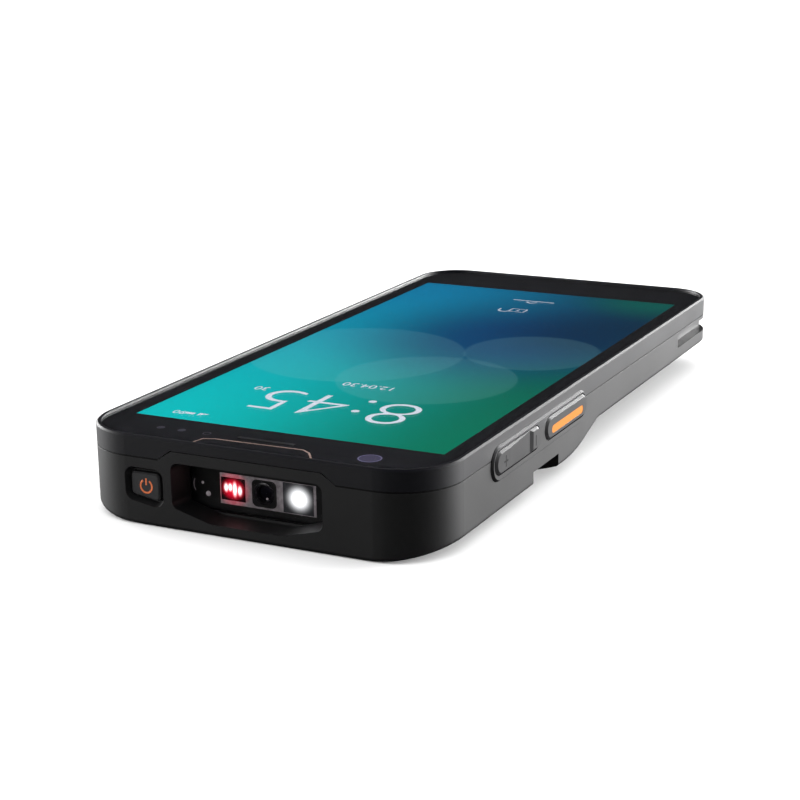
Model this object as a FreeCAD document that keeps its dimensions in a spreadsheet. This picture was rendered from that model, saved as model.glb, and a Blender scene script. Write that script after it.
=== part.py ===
import FreeCAD, Part
import math
import os
import re
import Sketcher

# Portable barcode data terminal, lying on its back with the screen up.
# X runs across the case, Y from the scan end (negative) to the foot end, Z up.
# The origin is on the surface the case lies on, below the middle of its outline.

doc = FreeCAD.newDocument("terminal")
sheet = doc.addObject("Spreadsheet::Sheet", "sizes")

SIZES = (
    # Case outline and heights
    ("body_length", 168.0, "case length, scan face to foot face"),
    ("body_width", 78.4, "case width over the plain side walls"),
    ("rim_level", 18.0, "height of the raised rim round the glass"),
    ("parting_level", 13.7, "height of the line between bezel and rear housing"),
    ("scan_corner", 12.5, "plan radius of the two corners at the scan end"),
    ("foot_corner", 10.5, "plan radius of the two corners at the foot end"),
    ("wall", 1.8, "side wall thickness of both mouldings"),
    ("floor_thick", 1.8, "floor of the housing under the electronics"),
    ("bump_length", 69.5, "length of the thick part behind the scan face"),
    ("ramp_run", 13.5, "length of the slope from the thick to the thin part"),
    ("thin_rise", 4.2, "how far the thin part's underside stands above the bump's"),
    ("ramp_start_bend", 40.0, "radius where the thick part turns into the slope"),
    ("ramp_end_bend", 9.0, "radius where the slope turns into the thin part"),
    ("floor_flat", 24.0, "half width of the flat middle of the underside"),
    ("side_rise", 2.7, "how far the underside curves up at the side walls"),
    ("edge_round", 0.8, "rounding of the lower outer edge"),
    ("rim_bevel", 0.35, "bevel of the rim's outer edge"),
    ("parting_bevel", 0.18, "bevel on both sides of the parting line"),
    # Tab of the rear housing that rises into the bezel over the scan recess
    ("tab_width", 38.4, "tab width at the parting line"),
    ("tab_top_width", 32.4, "tab width at its top"),
    ("tab_rise", 2.0, "tab height above the parting line"),
    ("tab_round", 1.2, "radius of the tab's two shoulders"),
    ("tab_gap", 0.15, "gap between tab and bezel"),
    # Glass, its seat in the bezel, the display and the mid frame
    ("rim_width", 1.0, "width of the rim outside the glass"),
    ("glass_gap", 0.12, "gap round the glass"),
    ("glass_drop", 0.45, "how far the glass lies below the rim"),
    ("glass_thick", 0.9, "cover glass thickness"),
    ("seal_thick", 0.2, "thickness of the glass seal"),
    ("ledge_width", 2.0, "width of the ledge that carries the glass"),
    ("ledge_thick", 0.8, "thickness of that ledge"),
    ("screen_side", 5.1, "distance from the side walls to the lit area"),
    ("screen_start", 15.0, "distance from scan face to the lit area"),
    ("screen_end", 16.6, "distance from the lit area to the foot face"),
    ("panel_border", 1.0, "unlit border of the display panel"),
    ("panel_thick", 1.5, "display panel thickness"),
    ("cushion_inset", 5.0, "inset of the display cushion from the panel's edge"),
    ("frame_thick", 1.0, "thickness of the metal mid frame"),
    ("frame_gap", 0.1, "gap between mid frame and housing"),
    ("frame_margin", 3.3, "distance from the mid frame to the strap grooves"),
    ("tray_corner", 8.0, "corner radius of the housing's inner tray at the scan end"),
    # Scan recess, window and engine
    ("recess_width", 32.8, "recess width at the scan face"),
    ("recess_inner_width", 30.6, "recess width at the window"),
    ("recess_top", 13.5, "height of the recess's upper edge"),
    ("recess_bottom", 2.3, "height of the recess's lowest point"),
    ("recess_depth", 5.0, "recess depth from the scan face to the window"),
    ("recess_corner", 1.6, "radius of the recess's upper corners"),
    ("recess_keel", 14.0, "width of the level middle of the recess's lower lip"),
    ("recess_keel_round", 5.8, "radius where that middle turns up"),
    ("recess_side_low", 5.8, "height where the recess's sides turn into the lip"),
    ("recess_draft", 0.3, "how far the recess narrows above and below, towards the window"),
    ("window_thick", 0.8, "scan window thickness"),
    ("window_lap", 0.8, "how far the window laps behind the recess"),
    ("engine_width", 29.0, "scan engine width"),
    ("engine_height", 8.0, "scan engine height"),
    ("engine_depth", 10.0, "scan engine depth"),
    ("engine_shift", -1.1, "X of the scan engine's middle"),
    ("engine_level", 3.6, "height of the scan engine's underside"),
    ("engine_gap", 0.1, "gap between window and engine"),
    ("optic_level", 7.75, "height of the optical axis"),
    ("optic_depth", 6.0, "depth of the optical pieces in the engine"),
    ("aimer_spot", -12.85, "X of the aimer"),
    ("aimer_radius", 2.6, "aimer barrel radius"),
    ("red_spot", -6.2, "X of the red lamp"),
    ("red_width", 5.4, "red lamp width"),
    ("red_height", 4.6, "red lamp height"),
    ("imager_spot", 0.65, "X of the imager"),
    ("imager_width", 5.4, "imager holder width and height"),
    ("imager_corner", 1.1, "corner radius of the imager holder"),
    ("imager_radius", 1.6, "imager lens radius"),
    ("imager_sink", 0.7, "how far the lens lies inside its holder"),
    ("imager_thick", 0.5, "imager lens thickness"),
    ("white_spot", 8.05, "X of the white lamp"),
    ("white_width", 6.6, "white lamp width"),
    ("white_height", 6.0, "white lamp height"),
    ("plate_thick", 0.4, "thickness of the engine's face plate"),
    ("plate_start", -9.1, "X where the face plate starts"),
    ("plate_end", 11.9, "X where the face plate ends"),
    # Power button
    ("power_spot", -22.6, "X of the middle of the power button"),
    ("power_level", 8.0, "height of the middle of the power button"),
    ("power_width", 6.4, "button width"),
    ("power_rise", 2.5, "button height above its middle"),
    ("power_drop", 2.45, "mean button height below its middle"),
    ("power_slant", 0.4, "how far the lower edge falls or rises from the mean"),
    ("power_corner", 0.8, "corner radius of the button"),
    ("power_bevel", 0.3, "bevel round the button's face"),
    ("power_sink", 0.4, "how far the button lies below the scan face"),
    ("dish_margin", 0.95, "margin of the dished recess round the button, at the scan face"),
    ("dish_foot", 0.24, "margin of that recess at its bottom"),
    ("dish_depth", 1.3, "depth of that recess"),
    ("power_travel", 0.4, "travel of the power button"),
    ("power_body", 3.4, "depth of the button outside its flange"),
    # Side keys
    ("key_level", 12.65, "height of the middle of the side keys"),
    ("key_height", 5.1, "height of the side key openings"),
    ("volume_start", 25.3, "distance from scan face to the volume opening"),
    ("volume_length", 22.9, "length of the volume opening"),
    ("trigger_start", 50.6, "distance from scan face to the trigger openings"),
    ("trigger_length", 23.4, "length of a trigger opening"),
    ("key_gap", 0.2, "gap round the side keys"),
    ("key_proud", 0.45, "how far the side keys stand out of their frame"),
    ("key_bevel", 0.5, "bevel round the faces of the side keys"),
    ("key_frame_proud", 0.5, "how far the key frame stands out of the side wall"),
    ("key_frame_margin", 0.7, "width of the key frame above and beside the openings"),
    ("key_frame_sill", 1.3, "width of the key frame below the openings"),
    ("key_frame_bevel", 0.4, "bevel of the key frame's edge"),
    ("flange_lap", 0.3, "how far a flange laps behind its opening"),
    ("flange_thick", 0.7, "flange thickness of all keys"),
    ("seat_gap", 0.05, "gap between a flange and the wall it stops against"),
    ("nub_radius", 1.0, "radius of the nubs that press the switches"),
    ("nub_length", 0.35, "length of those nubs"),
    ("trigger_travel", 0.5, "travel of the scan triggers"),
    ("switch_gap", 0.08, "gap left between nub and switch at full travel"),
    ("switch_dome", 0.6, "height of a switch dome over its strip"),
    ("strip_thick", 0.8, "thickness of the switch strips"),
    ("strip_margin", 2.0, "how far a switch strip runs past its openings"),
    ("rib_thick", 1.2, "thickness of the ribs that hold the strips"),
    ("pin_radius", 0.6, "radius of the rocker's pin"),
    ("pin_gap", 0.04, "radial gap between the pin and the rocker's eye"),
    ("pin_inset", 0.9, "distance of the pin's axis inside the wall's inner face"),
    ("eye_length", 4.4, "length of the rocker's eye along the case"),
    ("rocker_reach", 8.0, "distance of the rocker's nubs from its pin"),
    ("scoop_start", 6.7, "distance from the volume opening's start to the key's scoop"),
    ("scoop_length", 10.8, "length of the scoop's slope"),
    ("scoop_wall", 0.8, "length of the scoop's steep end"),
    ("scoop_depth", 0.45, "depth of the scoop"),
    ("stripe_margin", 2.9, "distance from a trigger opening's ends to the stripe"),
    ("stripe_height", 1.7, "height of the trigger stripe"),
    ("stripe_drop", 0.45, "how far the stripe lies below the trigger's middle"),
    ("stripe_depth", 0.4, "depth of the trigger stripe's groove"),
    ("stripe_sink", 0.05, "how far the stripe lies below the trigger's face"),
    # Electronics tray in the thick part
    ("tray_side", 9.2, "distance from the side walls to the deep part of the tray"),
    ("shelf_level", 6.6, "height of the shelves beside the deep part"),
    ("tray_end", 79.5, "distance from scan face to the tray's foot wall"),
    ("board_level", 9.0, "height of the main board's underside"),
    ("board_thick", 1.0, "main board thickness"),
    ("board_side", 6.6, "distance from the side walls to the main board"),
    ("board_gap", 3.5, "gap between the tray's foot wall and the board"),
    ("tower_width", 4.6, "width of the screw towers through the board"),
    ("tower_step", 0.9, "width of the shoulder on which the board rests"),
    ("board_play", 0.15, "gap between a tower and the board"),
    ("screw_side", 12.8, "distance from the side walls to the case screws"),
    ("screw_front", 13.0, "distance from scan face to the front screws"),
    ("screw_rear", 67.5, "distance from scan face to the rear screws"),
    ("screw_radius", 1.0, "radius of the case screws"),
    ("screw_gap", 0.05, "radial gap round the case screws"),
    ("screw_head", 1.9, "radius of the case screws' heads"),
    ("head_height", 1.5, "height of the case screws' heads"),
    ("head_level", 7.0, "height of the shoulder under a screw head"),
    # Latch notches for a snap-on accessory
    ("notch_start", 46.0, "distance from scan face to the latch notches"),
    ("notch_length", 13.6, "length of the latch notches"),
    ("notch_level", 5.35, "height of the latch notches"),
    ("notch_depth", 7.0, "depth of the latch notches from the side wall"),
    # Strap eyelets at the foot corners
    ("eyelet_reach", 29.7, "distance from the strap grooves' start to the foot face"),
    ("eyelet_low", 9.7, "height of the strap grooves' lower face"),
    ("eyelet_high", 12.8, "height of the strap grooves' upper face"),
    ("eyelet_depth", 2.6, "depth of the strap grooves"),
    ("eyelet_side", 14.2, "distance from the side walls to the grooves' ends on the foot face"),
    ("eyelet_mouth", 5.2, "width of the strap tunnels"),
    ("eyelet_roof", 0.5, "step from the groove's faces to the tunnel's"),
    # Battery bay, door and latch
    ("bay_side", 10.8, "distance from the side walls to the battery bay"),
    ("bay_start", 90.5, "distance from scan face to the battery bay"),
    ("bay_end", 14.5, "distance from the battery bay to the foot face"),
    ("bay_level", 12.0, "height of the battery bay's roof"),
    ("pack_gap", 0.2, "gap round the battery pack"),
    ("pack_corner", 1.2, "radius of the battery pack's upright corners"),
    ("door_side", 8.7, "distance from the side walls to the battery door"),
    ("door_start", 88.0, "distance from scan face to the battery door"),
    ("door_end", 10.5, "distance from the battery door's hinge edge to the foot face"),
    ("door_level", 5.6, "height of the battery door's inner face"),
    ("door_corner", 3.0, "corner radius of the battery door"),
    ("door_gap", 0.15, "gap round the battery door"),
    ("hook_half", 17.0, "X of the middle of the door's hooks"),
    ("hook_width", 6.0, "width of the door's hooks"),
    ("hook_reach", 1.4, "how far the hooks reach behind the housing's lip"),
    ("hook_root", 2.2, "how far the hooks run back on the door"),
    ("hook_height", 1.0, "height of the hooks over the door"),
    ("hook_room", 2.8, "height of the hook pockets"),
    ("latch_half", 5.0, "half width of the door latch"),
    ("latch_start", 0.6, "how far the latch stands behind the door's edge"),
    ("latch_length", 7.4, "length of the door latch"),
    ("latch_thick", 0.7, "thickness of the door latch"),
    ("latch_travel", 2.0, "travel of the door latch"),
    ("latch_gap", 0.1, "gap round the door latch"),
    ("thumb_half", 2.5, "half width of the latch's thumb piece"),
    ("thumb_length", 2.2, "length of the latch's thumb piece"),
    ("thumb_end", 1.3, "distance from the latch's end to the thumb piece"),
    ("thumb_gap", 0.3, "gap between the thumb piece and the ends of its slot"),
    ("thumb_sink", 0.15, "how far the thumb piece lies inside the door's face"),
    ("contact_half", 8.9, "half width of the battery contact block"),
    ("contact_level", 7.2, "height of the contact block's underside"),
    ("contact_height", 3.0, "height of the contact block"),
    # Pieces under the glass at the scan end
    ("sight_line", 8.4, "distance from scan face to earpiece and sensors"),
    ("earpiece_length", 12.6, "length of the earpiece slot"),
    ("earpiece_width", 1.0, "width of the earpiece slot"),
    ("receiver_length", 13.6, "length of the receiver"),
    ("receiver_width", 4.6, "width of the receiver"),
    ("camera_spot", 22.6, "X of the front camera"),
    ("camera_line", 7.3, "distance from scan face to the front camera"),
    ("camera_radius", 2.6, "front camera radius"),
    ("sensor_spot", -19.1, "X of the light sensor"),
    ("sensor_width", 3.4, "width of the light sensor"),
    # Pieces on the main board
    ("block_corner", 0.3, "radius of the upright corners of plain pieces"),
    ("chip_spot", -12.0, "X of the chip shield's middle"),
    ("chip_line", 42.0, "distance from scan face to the chip shield's middle"),
    ("chip_width", 22.0, "chip shield width"),
    ("chip_length", 24.0, "chip shield length"),
    ("chip_height", 1.8, "chip shield height"),
    ("card_spot", 14.0, "X of the card socket's middle"),
    ("card_line", 56.0, "distance from scan face to the card socket's middle"),
    ("card_width", 15.0, "card socket width"),
    ("card_length", 14.0, "card socket length"),
    ("card_height", 1.5, "card socket height"),
    # Pieces in the floor of the thick part and in the foot wall
    ("lens_line", 27.0, "distance from scan face to the rear camera"),
    ("lens_radius", 5.2, "rear camera window radius"),
    ("lens_sink", 0.25, "how far the rear windows lie inside the underside"),
    ("lens_thick", 0.9, "rear camera window thickness"),
    ("lens_lap", 0.8, "how far the rear camera window laps its hole"),
    ("module_width", 9.6, "rear camera width"),
    ("module_height", 4.8, "rear camera height"),
    ("flash_spot", 12.5, "X of the rear lamp"),
    ("flash_radius", 2.4, "rear lamp radius"),
    ("speaker_side", 18.2, "distance from the side wall to the loudspeaker's middle"),
    ("speaker_line", 41.0, "distance from scan face to the loudspeaker"),
    ("speaker_width", 16.0, "loudspeaker width"),
    ("speaker_length", 12.0, "loudspeaker length"),
    ("speaker_height", 3.5, "loudspeaker height"),
    ("mesh_thick", 0.2, "thickness of the acoustic meshes"),
    ("slot_width", 0.9, "width of a loudspeaker slot"),
    ("slot_length", 9.0, "length of a loudspeaker slot"),
    ("slot_pitch", 1.9, "pitch of the loudspeaker slots"),
    ("motor_side", 19.2, "distance from the side wall to the vibration motor's axis"),
    ("motor_line", 44.0, "distance from scan face to the vibration motor"),
    ("motor_radius", 4.0, "vibration motor radius"),
    ("motor_height", 2.7, "vibration motor height"),
    ("socket_width", 9.0, "USB socket shell width"),
    ("socket_height", 3.2, "USB socket shell height"),
    ("socket_depth", 7.6, "USB socket depth"),
    ("socket_level", 9.2, "height of the USB socket's middle"),
    ("socket_wall", 0.3, "USB socket shell thickness"),
    ("socket_sink", 0.35, "how far the socket's shell lies behind the foot face"),
)

for row, (alias, value, meaning) in enumerate(SIZES, start=1):
    sheet.set("A%d" % row, alias)
    sheet.set("B%d" % row, str(value))
    sheet.setAlias("B%d" % row, alias)
    sheet.set("C%d" % row, meaning)
doc.recompute()
NAMES = [alias for alias, value, meaning in SIZES]


def bound(formula):
    """A formula in the sheet's names, written as an expression of the document."""
    return re.sub(r"[a-z][a-z_]+", lambda word: "sizes." + word.group() if word.group() in NAMES
                  else word.group(), str(formula))


def num(formula):
    """The present value of a formula, in millimetres or degrees."""
    return float(sheet.evalExpression(bound(formula)))


# Places that many pieces share
HALF = "body_width / 2"
SCAN = "-body_length / 2"
FOOT = "body_length / 2"
INNER = "(body_width / 2 - wall)"
GLASS_TOP = "(rim_level - glass_drop)"
GLASS_BOTTOM = "(rim_level - glass_drop - glass_thick)"
LEDGE_TOP = "(rim_level - glass_drop - glass_thick - seal_thick)"
LEDGE_BOTTOM = "(rim_level - glass_drop - glass_thick - seal_thick - ledge_thick)"
WINDOW = "(-body_length / 2 + recess_depth)"
TRAY = "(-body_length / 2 + recess_depth + window_thick)"
ENGINE = "(-body_length / 2 + recess_depth + window_thick + engine_gap)"
TRAY_END = "(-body_length / 2 + tray_end)"
FRAME = "(body_width / 2 + key_frame_proud)"
SIGHT = "(-body_length / 2 + sight_line)"
EYELETS = "(body_length / 2 - eyelet_reach)"
BAY_HALF = "(body_width / 2 - bay_side)"
BAY_START = "(-body_length / 2 + bay_start)"
BAY_END = "(body_length / 2 - bay_end)"
DOOR_HALF = "(body_width / 2 - door_side)"
DOOR_START = "(-body_length / 2 + door_start)"
DOOR_END = "(body_length / 2 - door_end)"

# The direction of each origin plane's normal along its world axis
NORMAL = {"XY_Plane": 1, "XZ_Plane": -1, "YZ_Plane": 1}


def new_body(label):
    body = doc.addObject("PartDesign::Body", label)
    body.Label = label
    return body


def new_sketch(body, plane, level):
    """An empty sketch on one of the body's origin planes, moved to a level along its axis."""
    sketch = body.newObject("Sketcher::SketchObject", "outline")
    role = {feature.Role: feature for feature in body.Origin.OriginFeatures}
    sketch.AttachmentSupport = [(role[plane], "")]
    sketch.MapMode = "FlatFace"
    sketch.setExpression("AttachmentOffset.Base.z", bound("%d * (%s)" % (NORMAL[plane], level)))
    return sketch


def fix(sketch, kind, element, point, formula):
    """One driving dimension of a sketch, bound to the sheet."""
    if kind == "Radius":
        place = sketch.addConstraint(Sketcher.Constraint(kind, element, num(formula)))
    else:
        place = sketch.addConstraint(Sketcher.Constraint(kind, -1, 1, element, point, num(formula)))
    sketch.setExpression("Constraints[%d]" % place, bound(formula))


def draw_polygon(sketch, corners):
    base = sketch.GeometryCount
    spots = [FreeCAD.Vector(num(across), num(up), 0) for across, up in corners]
    count = len(spots)
    for index in range(count):
        sketch.addGeometry(Part.LineSegment(spots[index], spots[(index + 1) % count]), False)
    for index in range(count):
        following = base + (index + 1) % count
        sketch.addConstraint(Sketcher.Constraint("Coincident", base + index, 2, following, 1))
    for index, (across, up) in enumerate(corners, start=base):
        fix(sketch, "DistanceX", index, 1, across)
        fix(sketch, "DistanceY", index, 1, up)


def polygon(body, plane, level, *outlines):
    """Closed outlines of straight lines; each corner is a pair of formulas."""
    sketch = new_sketch(body, plane, level)
    for corners in outlines:
        draw_polygon(sketch, corners)
    return sketch


def draw_belt(sketch, rounds):
    base = sketch.GeometryCount
    centres = [FreeCAD.Vector(num(across), num(up), 0) for across, up, radius in rounds]
    radii = [num(radius) for across, up, radius in rounds]
    count = len(rounds)
    outward = []
    for index in range(count):
        step = centres[(index + 1) % count] - centres[index]
        lean = (radii[index] - radii[(index + 1) % count]) / step.Length
        along = step.normalize()
        aside = FreeCAD.Vector(along.y, -along.x, 0)
        outward.append(along * lean + aside * math.sqrt(1 - lean * lean))
    for index in range(count):
        start = outward[index - 1]
        end = outward[index]
        circle = Part.Circle(centres[index], FreeCAD.Vector(0, 0, 1), radii[index])
        first = math.atan2(start.y, start.x)
        last = math.atan2(end.y, end.x)
        if last <= first:
            last += 2 * math.pi
        sketch.addGeometry(Part.ArcOfCircle(circle, first, last), False)
    for index in range(count):
        following = (index + 1) % count
        begin = centres[index] + outward[index] * radii[index]
        finish = centres[following] + outward[index] * radii[following]
        sketch.addGeometry(Part.LineSegment(begin, finish), False)
    for index in range(count):
        line = base + count + index
        following = base + (index + 1) % count
        sketch.addConstraint(Sketcher.Constraint("Tangent", base + index, 2, line, 1))
        sketch.addConstraint(Sketcher.Constraint("Tangent", line, 2, following, 1))
    for index, (across, up, radius) in enumerate(rounds, start=base):
        fix(sketch, "DistanceX", index, 3, across)
        fix(sketch, "DistanceY", index, 3, up)
        fix(sketch, "Radius", index, 0, radius)


def belt(body, plane, level, *outlines):
    """Closed outlines of arcs joined by their outer tangents, anticlockwise.

    Each round of an outline is a centre and a radius, as three formulas.
    """
    sketch = new_sketch(body, plane, level)
    for rounds in outlines:
        draw_belt(sketch, rounds)
    return sketch


def circles(body, plane, level, *rounds):
    """Circles, each a centre and a radius."""
    sketch = new_sketch(body, plane, level)
    for index, (across, up, radius) in enumerate(rounds):
        centre = FreeCAD.Vector(num(across), num(up), 0)
        sketch.addGeometry(Part.Circle(centre, FreeCAD.Vector(0, 0, 1), num(radius)), False)
        fix(sketch, "DistanceX", index, 3, across)
        fix(sketch, "DistanceY", index, 3, up)
        fix(sketch, "Radius", index, 0, radius)
    return sketch


def circle(body, plane, level, across, up, radius):
    return circles(body, plane, level, (across, up, radius))


# The volume of each body after its last feature
volumes = {}


def settle(body, feature, grows):
    """Recompute, and make sure that the feature did what it is there for."""
    body.Tip = feature
    doc.recompute()
    volume = body.Shape.Volume
    change = volume - volumes.get(body.Name, 0.0)
    volumes[body.Name] = volume
    if "Invalid" in feature.State or (change > 0) != grows or abs(change) < 1e-6:
        raise RuntimeError("%s: %s changed the volume by %.5f" % (body.Label, feature.Name, change))
    return feature


def extrude(body, sketch, length, way, kind, symmetric):
    feature = body.newObject(kind, kind.split("::")[1].lower())
    feature.Profile = sketch
    feature.setExpression("Length", bound(length))
    plane = sketch.AttachmentSupport[0][0].Role
    with_normal = way * NORMAL[plane] > 0
    feature.Reversed = (not with_normal) if kind.endswith("Pad") else with_normal
    if symmetric:
        feature.SideType = "Symmetric"
    return settle(body, feature, kind.endswith("Pad"))


def grow(body, sketch, length, way=1, symmetric=False):
    """Pad a sketch along the positive (way 1) or negative (way -1) world axis."""
    return extrude(body, sketch, length, way, "PartDesign::Pad", symmetric)


def cut(body, sketch, length, way=1, symmetric=False):
    """Pocket a sketch along the positive (way 1) or negative (way -1) world axis."""
    return extrude(body, sketch, length, way, "PartDesign::Pocket", symmetric)


def dress(body, kind, names, size):
    """Fillet or chamfer the named edges of the body's last feature."""
    base = body.Tip
    if not names:
        raise RuntimeError("%s: no edge to dress" % body.Label)
    feature = body.newObject("PartDesign::" + kind, kind.lower())
    feature.Base = (base, names)
    feature.setExpression("Radius" if kind == "Fillet" else "Size", bound(size))
    body.Tip = feature
    doc.recompute()
    volumes[body.Name] = body.Shape.Volume
    if "Invalid" in feature.State or not body.Shape.isValid():
        raise RuntimeError("%s: %s failed" % (body.Label, feature.Name))
    return feature


def edges(body, test):
    """Names of the edges of the body's last feature whose bounding box passes a test."""
    found = enumerate(body.Tip.Shape.Edges, start=1)
    return ["Edge%d" % index for index, edge in found if test(edge.BoundBox)]


def near(value, formula):
    return abs(value - num(formula)) < 0.02


def plan(inset):
    """The case outline seen from above, drawn in by an inset, as rounds for a belt."""
    sides = ((-1, "-", "scan"), (1, "-", "scan"), (1, "+", "foot"), (-1, "+", "foot"))
    rounds = []
    for side, end, corner in sides:
        across = "%d * (body_width / 2 - %s_corner)" % (side, corner)
        along = "%s(body_length / 2 - %s_corner)" % (end if end == "-" else "", corner)
        rounds.append((across, along, "%s_corner - (%s)" % (corner, inset)))
    return rounds


def underside(body):
    """Cut the case's underside: bump, slope and thin part, curving up to the side walls."""
    bump_end = SCAN + " + bump_length"
    ramp_end = bump_end + " + ramp_run"
    path = new_sketch(body, "YZ_Plane", "0")
    slope = "sqrt(ramp_run * ramp_run + thin_rise * thin_rise)"
    first = "ramp_start_bend * tan(atan(thin_rise / ramp_run) / 2)"
    second = "ramp_end_bend * tan(atan(thin_rise / ramp_run) / 2)"
    stops = (
        (SCAN + " - wall", "0"),
        ("%s - %s" % (bump_end, first), "0"),
        ("%s + %s * ramp_run / %s" % (bump_end, first, slope), "%s * thin_rise / %s" % (first, slope)),
        ("%s - %s * ramp_run / %s" % (ramp_end, second, slope),
         "thin_rise - %s * thin_rise / %s" % (second, slope)),
        ("%s + %s" % (ramp_end, second), "thin_rise"),
        (FOOT + " + wall", "thin_rise"),
    )
    spots = [FreeCAD.Vector(num(along), num(up), 0) for along, up in stops]
    for index in range(3):
        path.addGeometry(Part.LineSegment(spots[2 * index], spots[2 * index + 1]), False)
    start_bend = num("ramp_start_bend")
    end_bend = num("ramp_end_bend")
    turn = math.atan2(num("thin_rise"), num("ramp_run"))
    upright = FreeCAD.Vector(0, 0, 1)
    lower = Part.Circle(spots[1] + FreeCAD.Vector(0, start_bend, 0), upright, start_bend)
    upper = Part.Circle(spots[4] - FreeCAD.Vector(0, end_bend, 0), upright, end_bend)
    path.addGeometry(Part.ArcOfCircle(lower, -math.pi / 2, -math.pi / 2 + turn), False)
    path.addGeometry(Part.ArcOfCircle(upper, math.pi / 2, math.pi / 2 + turn), False)
    path.addConstraint(Sketcher.Constraint("Coincident", 0, 2, 3, 1))
    path.addConstraint(Sketcher.Constraint("Coincident", 3, 2, 1, 1))
    path.addConstraint(Sketcher.Constraint("Coincident", 1, 2, 4, 2))
    path.addConstraint(Sketcher.Constraint("Coincident", 4, 1, 2, 1))
    for index, (along, up) in enumerate(stops):
        fix(path, "DistanceX", index // 2, 1 + index % 2, along)
        fix(path, "DistanceY", index // 2, 1 + index % 2, up)
    fix(path, "Radius", 3, 0, "ramp_start_bend")
    fix(path, "Radius", 4, 0, "ramp_end_bend")
    profile = new_sketch(body, "XZ_Plane", SCAN + " - wall")
    half = HALF
    rise = "side_rise"
    run = "(%s - floor_flat)" % HALF
    radius = "(%s * %s + side_rise * side_rise) / (2 * side_rise)" % (run, run)
    depth = "-2 * thin_rise"
    wide = HALF + " + wall"
    line = Part.LineSegment
    spot = {
        "flat left": ("-floor_flat", "0"), "flat right": ("floor_flat", "0"),
        "side right": (half, rise), "out right": (wide, rise), "low right": (wide, depth),
        "low left": ("-(%s)" % wide, depth), "out left": ("-(%s)" % wide, rise),
        "side left": ("-" + half, rise),
    }
    point = {name: FreeCAD.Vector(num(pair[0]), num(pair[1]), 0) for name, pair in spot.items()}
    order = ["flat left", "flat right", "side right", "out right", "low right", "low left",
             "out left", "side left"]
    bend = num(radius)
    for index, name in enumerate(order):
        following = order[(index + 1) % len(order)]
        if (name, following) in (("flat right", "side right"), ("side left", "flat left")):
            side = 1 if name == "flat right" else -1
            ring = Part.Circle(FreeCAD.Vector(side * num("floor_flat"), bend, 0),
                               FreeCAD.Vector(0, 0, 1), bend)
            turn = math.asin(num(run) / bend)
            middle = -math.pi / 2
            span = (middle, middle + turn) if side > 0 else (middle - turn, middle)
            profile.addGeometry(Part.ArcOfCircle(ring, *span), False)
        else:
            profile.addGeometry(line(point[name], point[following]), False)
    for index, name in enumerate(order):
        profile.addConstraint(Sketcher.Constraint("Coincident", index, 2, (index + 1) % 8, 1))
        fix(profile, "DistanceX", index, 1, spot[name][0])
        fix(profile, "DistanceY", index, 1, spot[name][1])
    fix(profile, "Radius", 1, 0, radius)
    fix(profile, "Radius", 7, 0, radius)
    pipe = body.newObject("PartDesign::SubtractivePipe", "underside")
    pipe.Profile = profile
    pipe.Spine = (path, ["Edge1", "Edge4", "Edge2", "Edge5", "Edge3"])
    pipe.Mode = "Fixed"
    return settle(body, pipe, False)


def inset_of(spot):
    """How far a point lies inside the case outline, seen from above."""
    half = num("body_width / 2")
    reach = num("body_length / 2")
    corner = num("foot_corner" if spot.y > 0 else "scan_corner")
    aside = abs(spot.x) - half + corner
    beyond = abs(spot.y) - reach + corner
    if aside > 0 and beyond > 0:
        return corner - math.hypot(aside, beyond)
    return min(half - abs(spot.x), reach - abs(spot.y))


def on_outline(edge, inset):
    """Whether an edge follows the case outline at an inset."""
    first, last = edge.ParameterRange
    spots = [edge.valueAt(first + (last - first) * share) for share in (0.0, 0.37, 1.0)]
    return all(abs(inset_of(spot) - inset) < 0.02 for spot in spots)


def span(middle, width):
    """The two ends of a width about a middle, as formulas."""
    return "%s - (%s) / 2" % (middle, width), "%s + (%s) / 2" % (middle, width)


def box(across, up):
    """The corners of a rectangle from two pairs of formulas."""
    return [(across[0], up[0]), (across[1], up[0]), (across[1], up[1]), (across[0], up[1])]


def soft_box(across, up, radius):
    """The rounds of a rectangle with round corners."""
    rounds = []
    for first, second in ((0, 0), (1, 0), (1, 1), (0, 1)):
        sign = ("+", "-")
        rounds.append(("%s %s (%s)" % (across[first], sign[first], radius),
                       "%s %s (%s)" % (up[second], sign[second], radius), radius))
    return rounds


def stadium(first, last, level, radius):
    """The rounds of a slot whose ends have their centres at first and last."""
    return [(last, level, radius), (first, level, radius)]


def rectangle(body, plane, level, across, up):
    return polygon(body, plane, level, box(across, up))


def rounded(body, plane, level, across, up, radius):
    return belt(body, plane, level, soft_box(across, up, radius))


def mirrored(side, first, last):
    """A span given for the +X side, turned to the asked side."""
    return sorted(("%d * (%s)" % (side, first), "%d * (%s)" % (side, last)), key=num)


def key_ring(start, length, grown):
    """A side key opening in the YZ plane, grown all round."""
    radius = "key_height / 2"
    first = "%s + %s + %s" % (SCAN, start, radius)
    last = "%s + %s + %s - %s" % (SCAN, start, length, radius)
    return stadium(first, last, "key_level", "key_height / 2 + (%s)" % grown)


def frame_ring(start, end):
    """The outline of a key frame, with a wider sill below the openings."""
    radius = "(key_height + key_frame_margin + key_frame_sill) / 2"
    level = "key_level + (key_frame_margin - key_frame_sill) / 2"
    first = "%s + %s - key_frame_margin + %s" % (SCAN, start, radius)
    last = "%s + %s + key_frame_margin - %s" % (SCAN, end, radius)
    return stadium(first, last, level, radius)


# Per side: where its key frame starts, and the openings in it
SIDES = {
    1: ("volume_start", (("volume_start", "volume_length"), ("trigger_start", "trigger_length"))),
    -1: ("trigger_start", (("trigger_start", "trigger_length"),)),
}
TRIGGER_END = "(trigger_start + trigger_length)"


def outer_level(side, length):
    """The level a side feature starts from, so that it ends outside the wall."""
    return "%d * (%s)" % (side, length)


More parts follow.
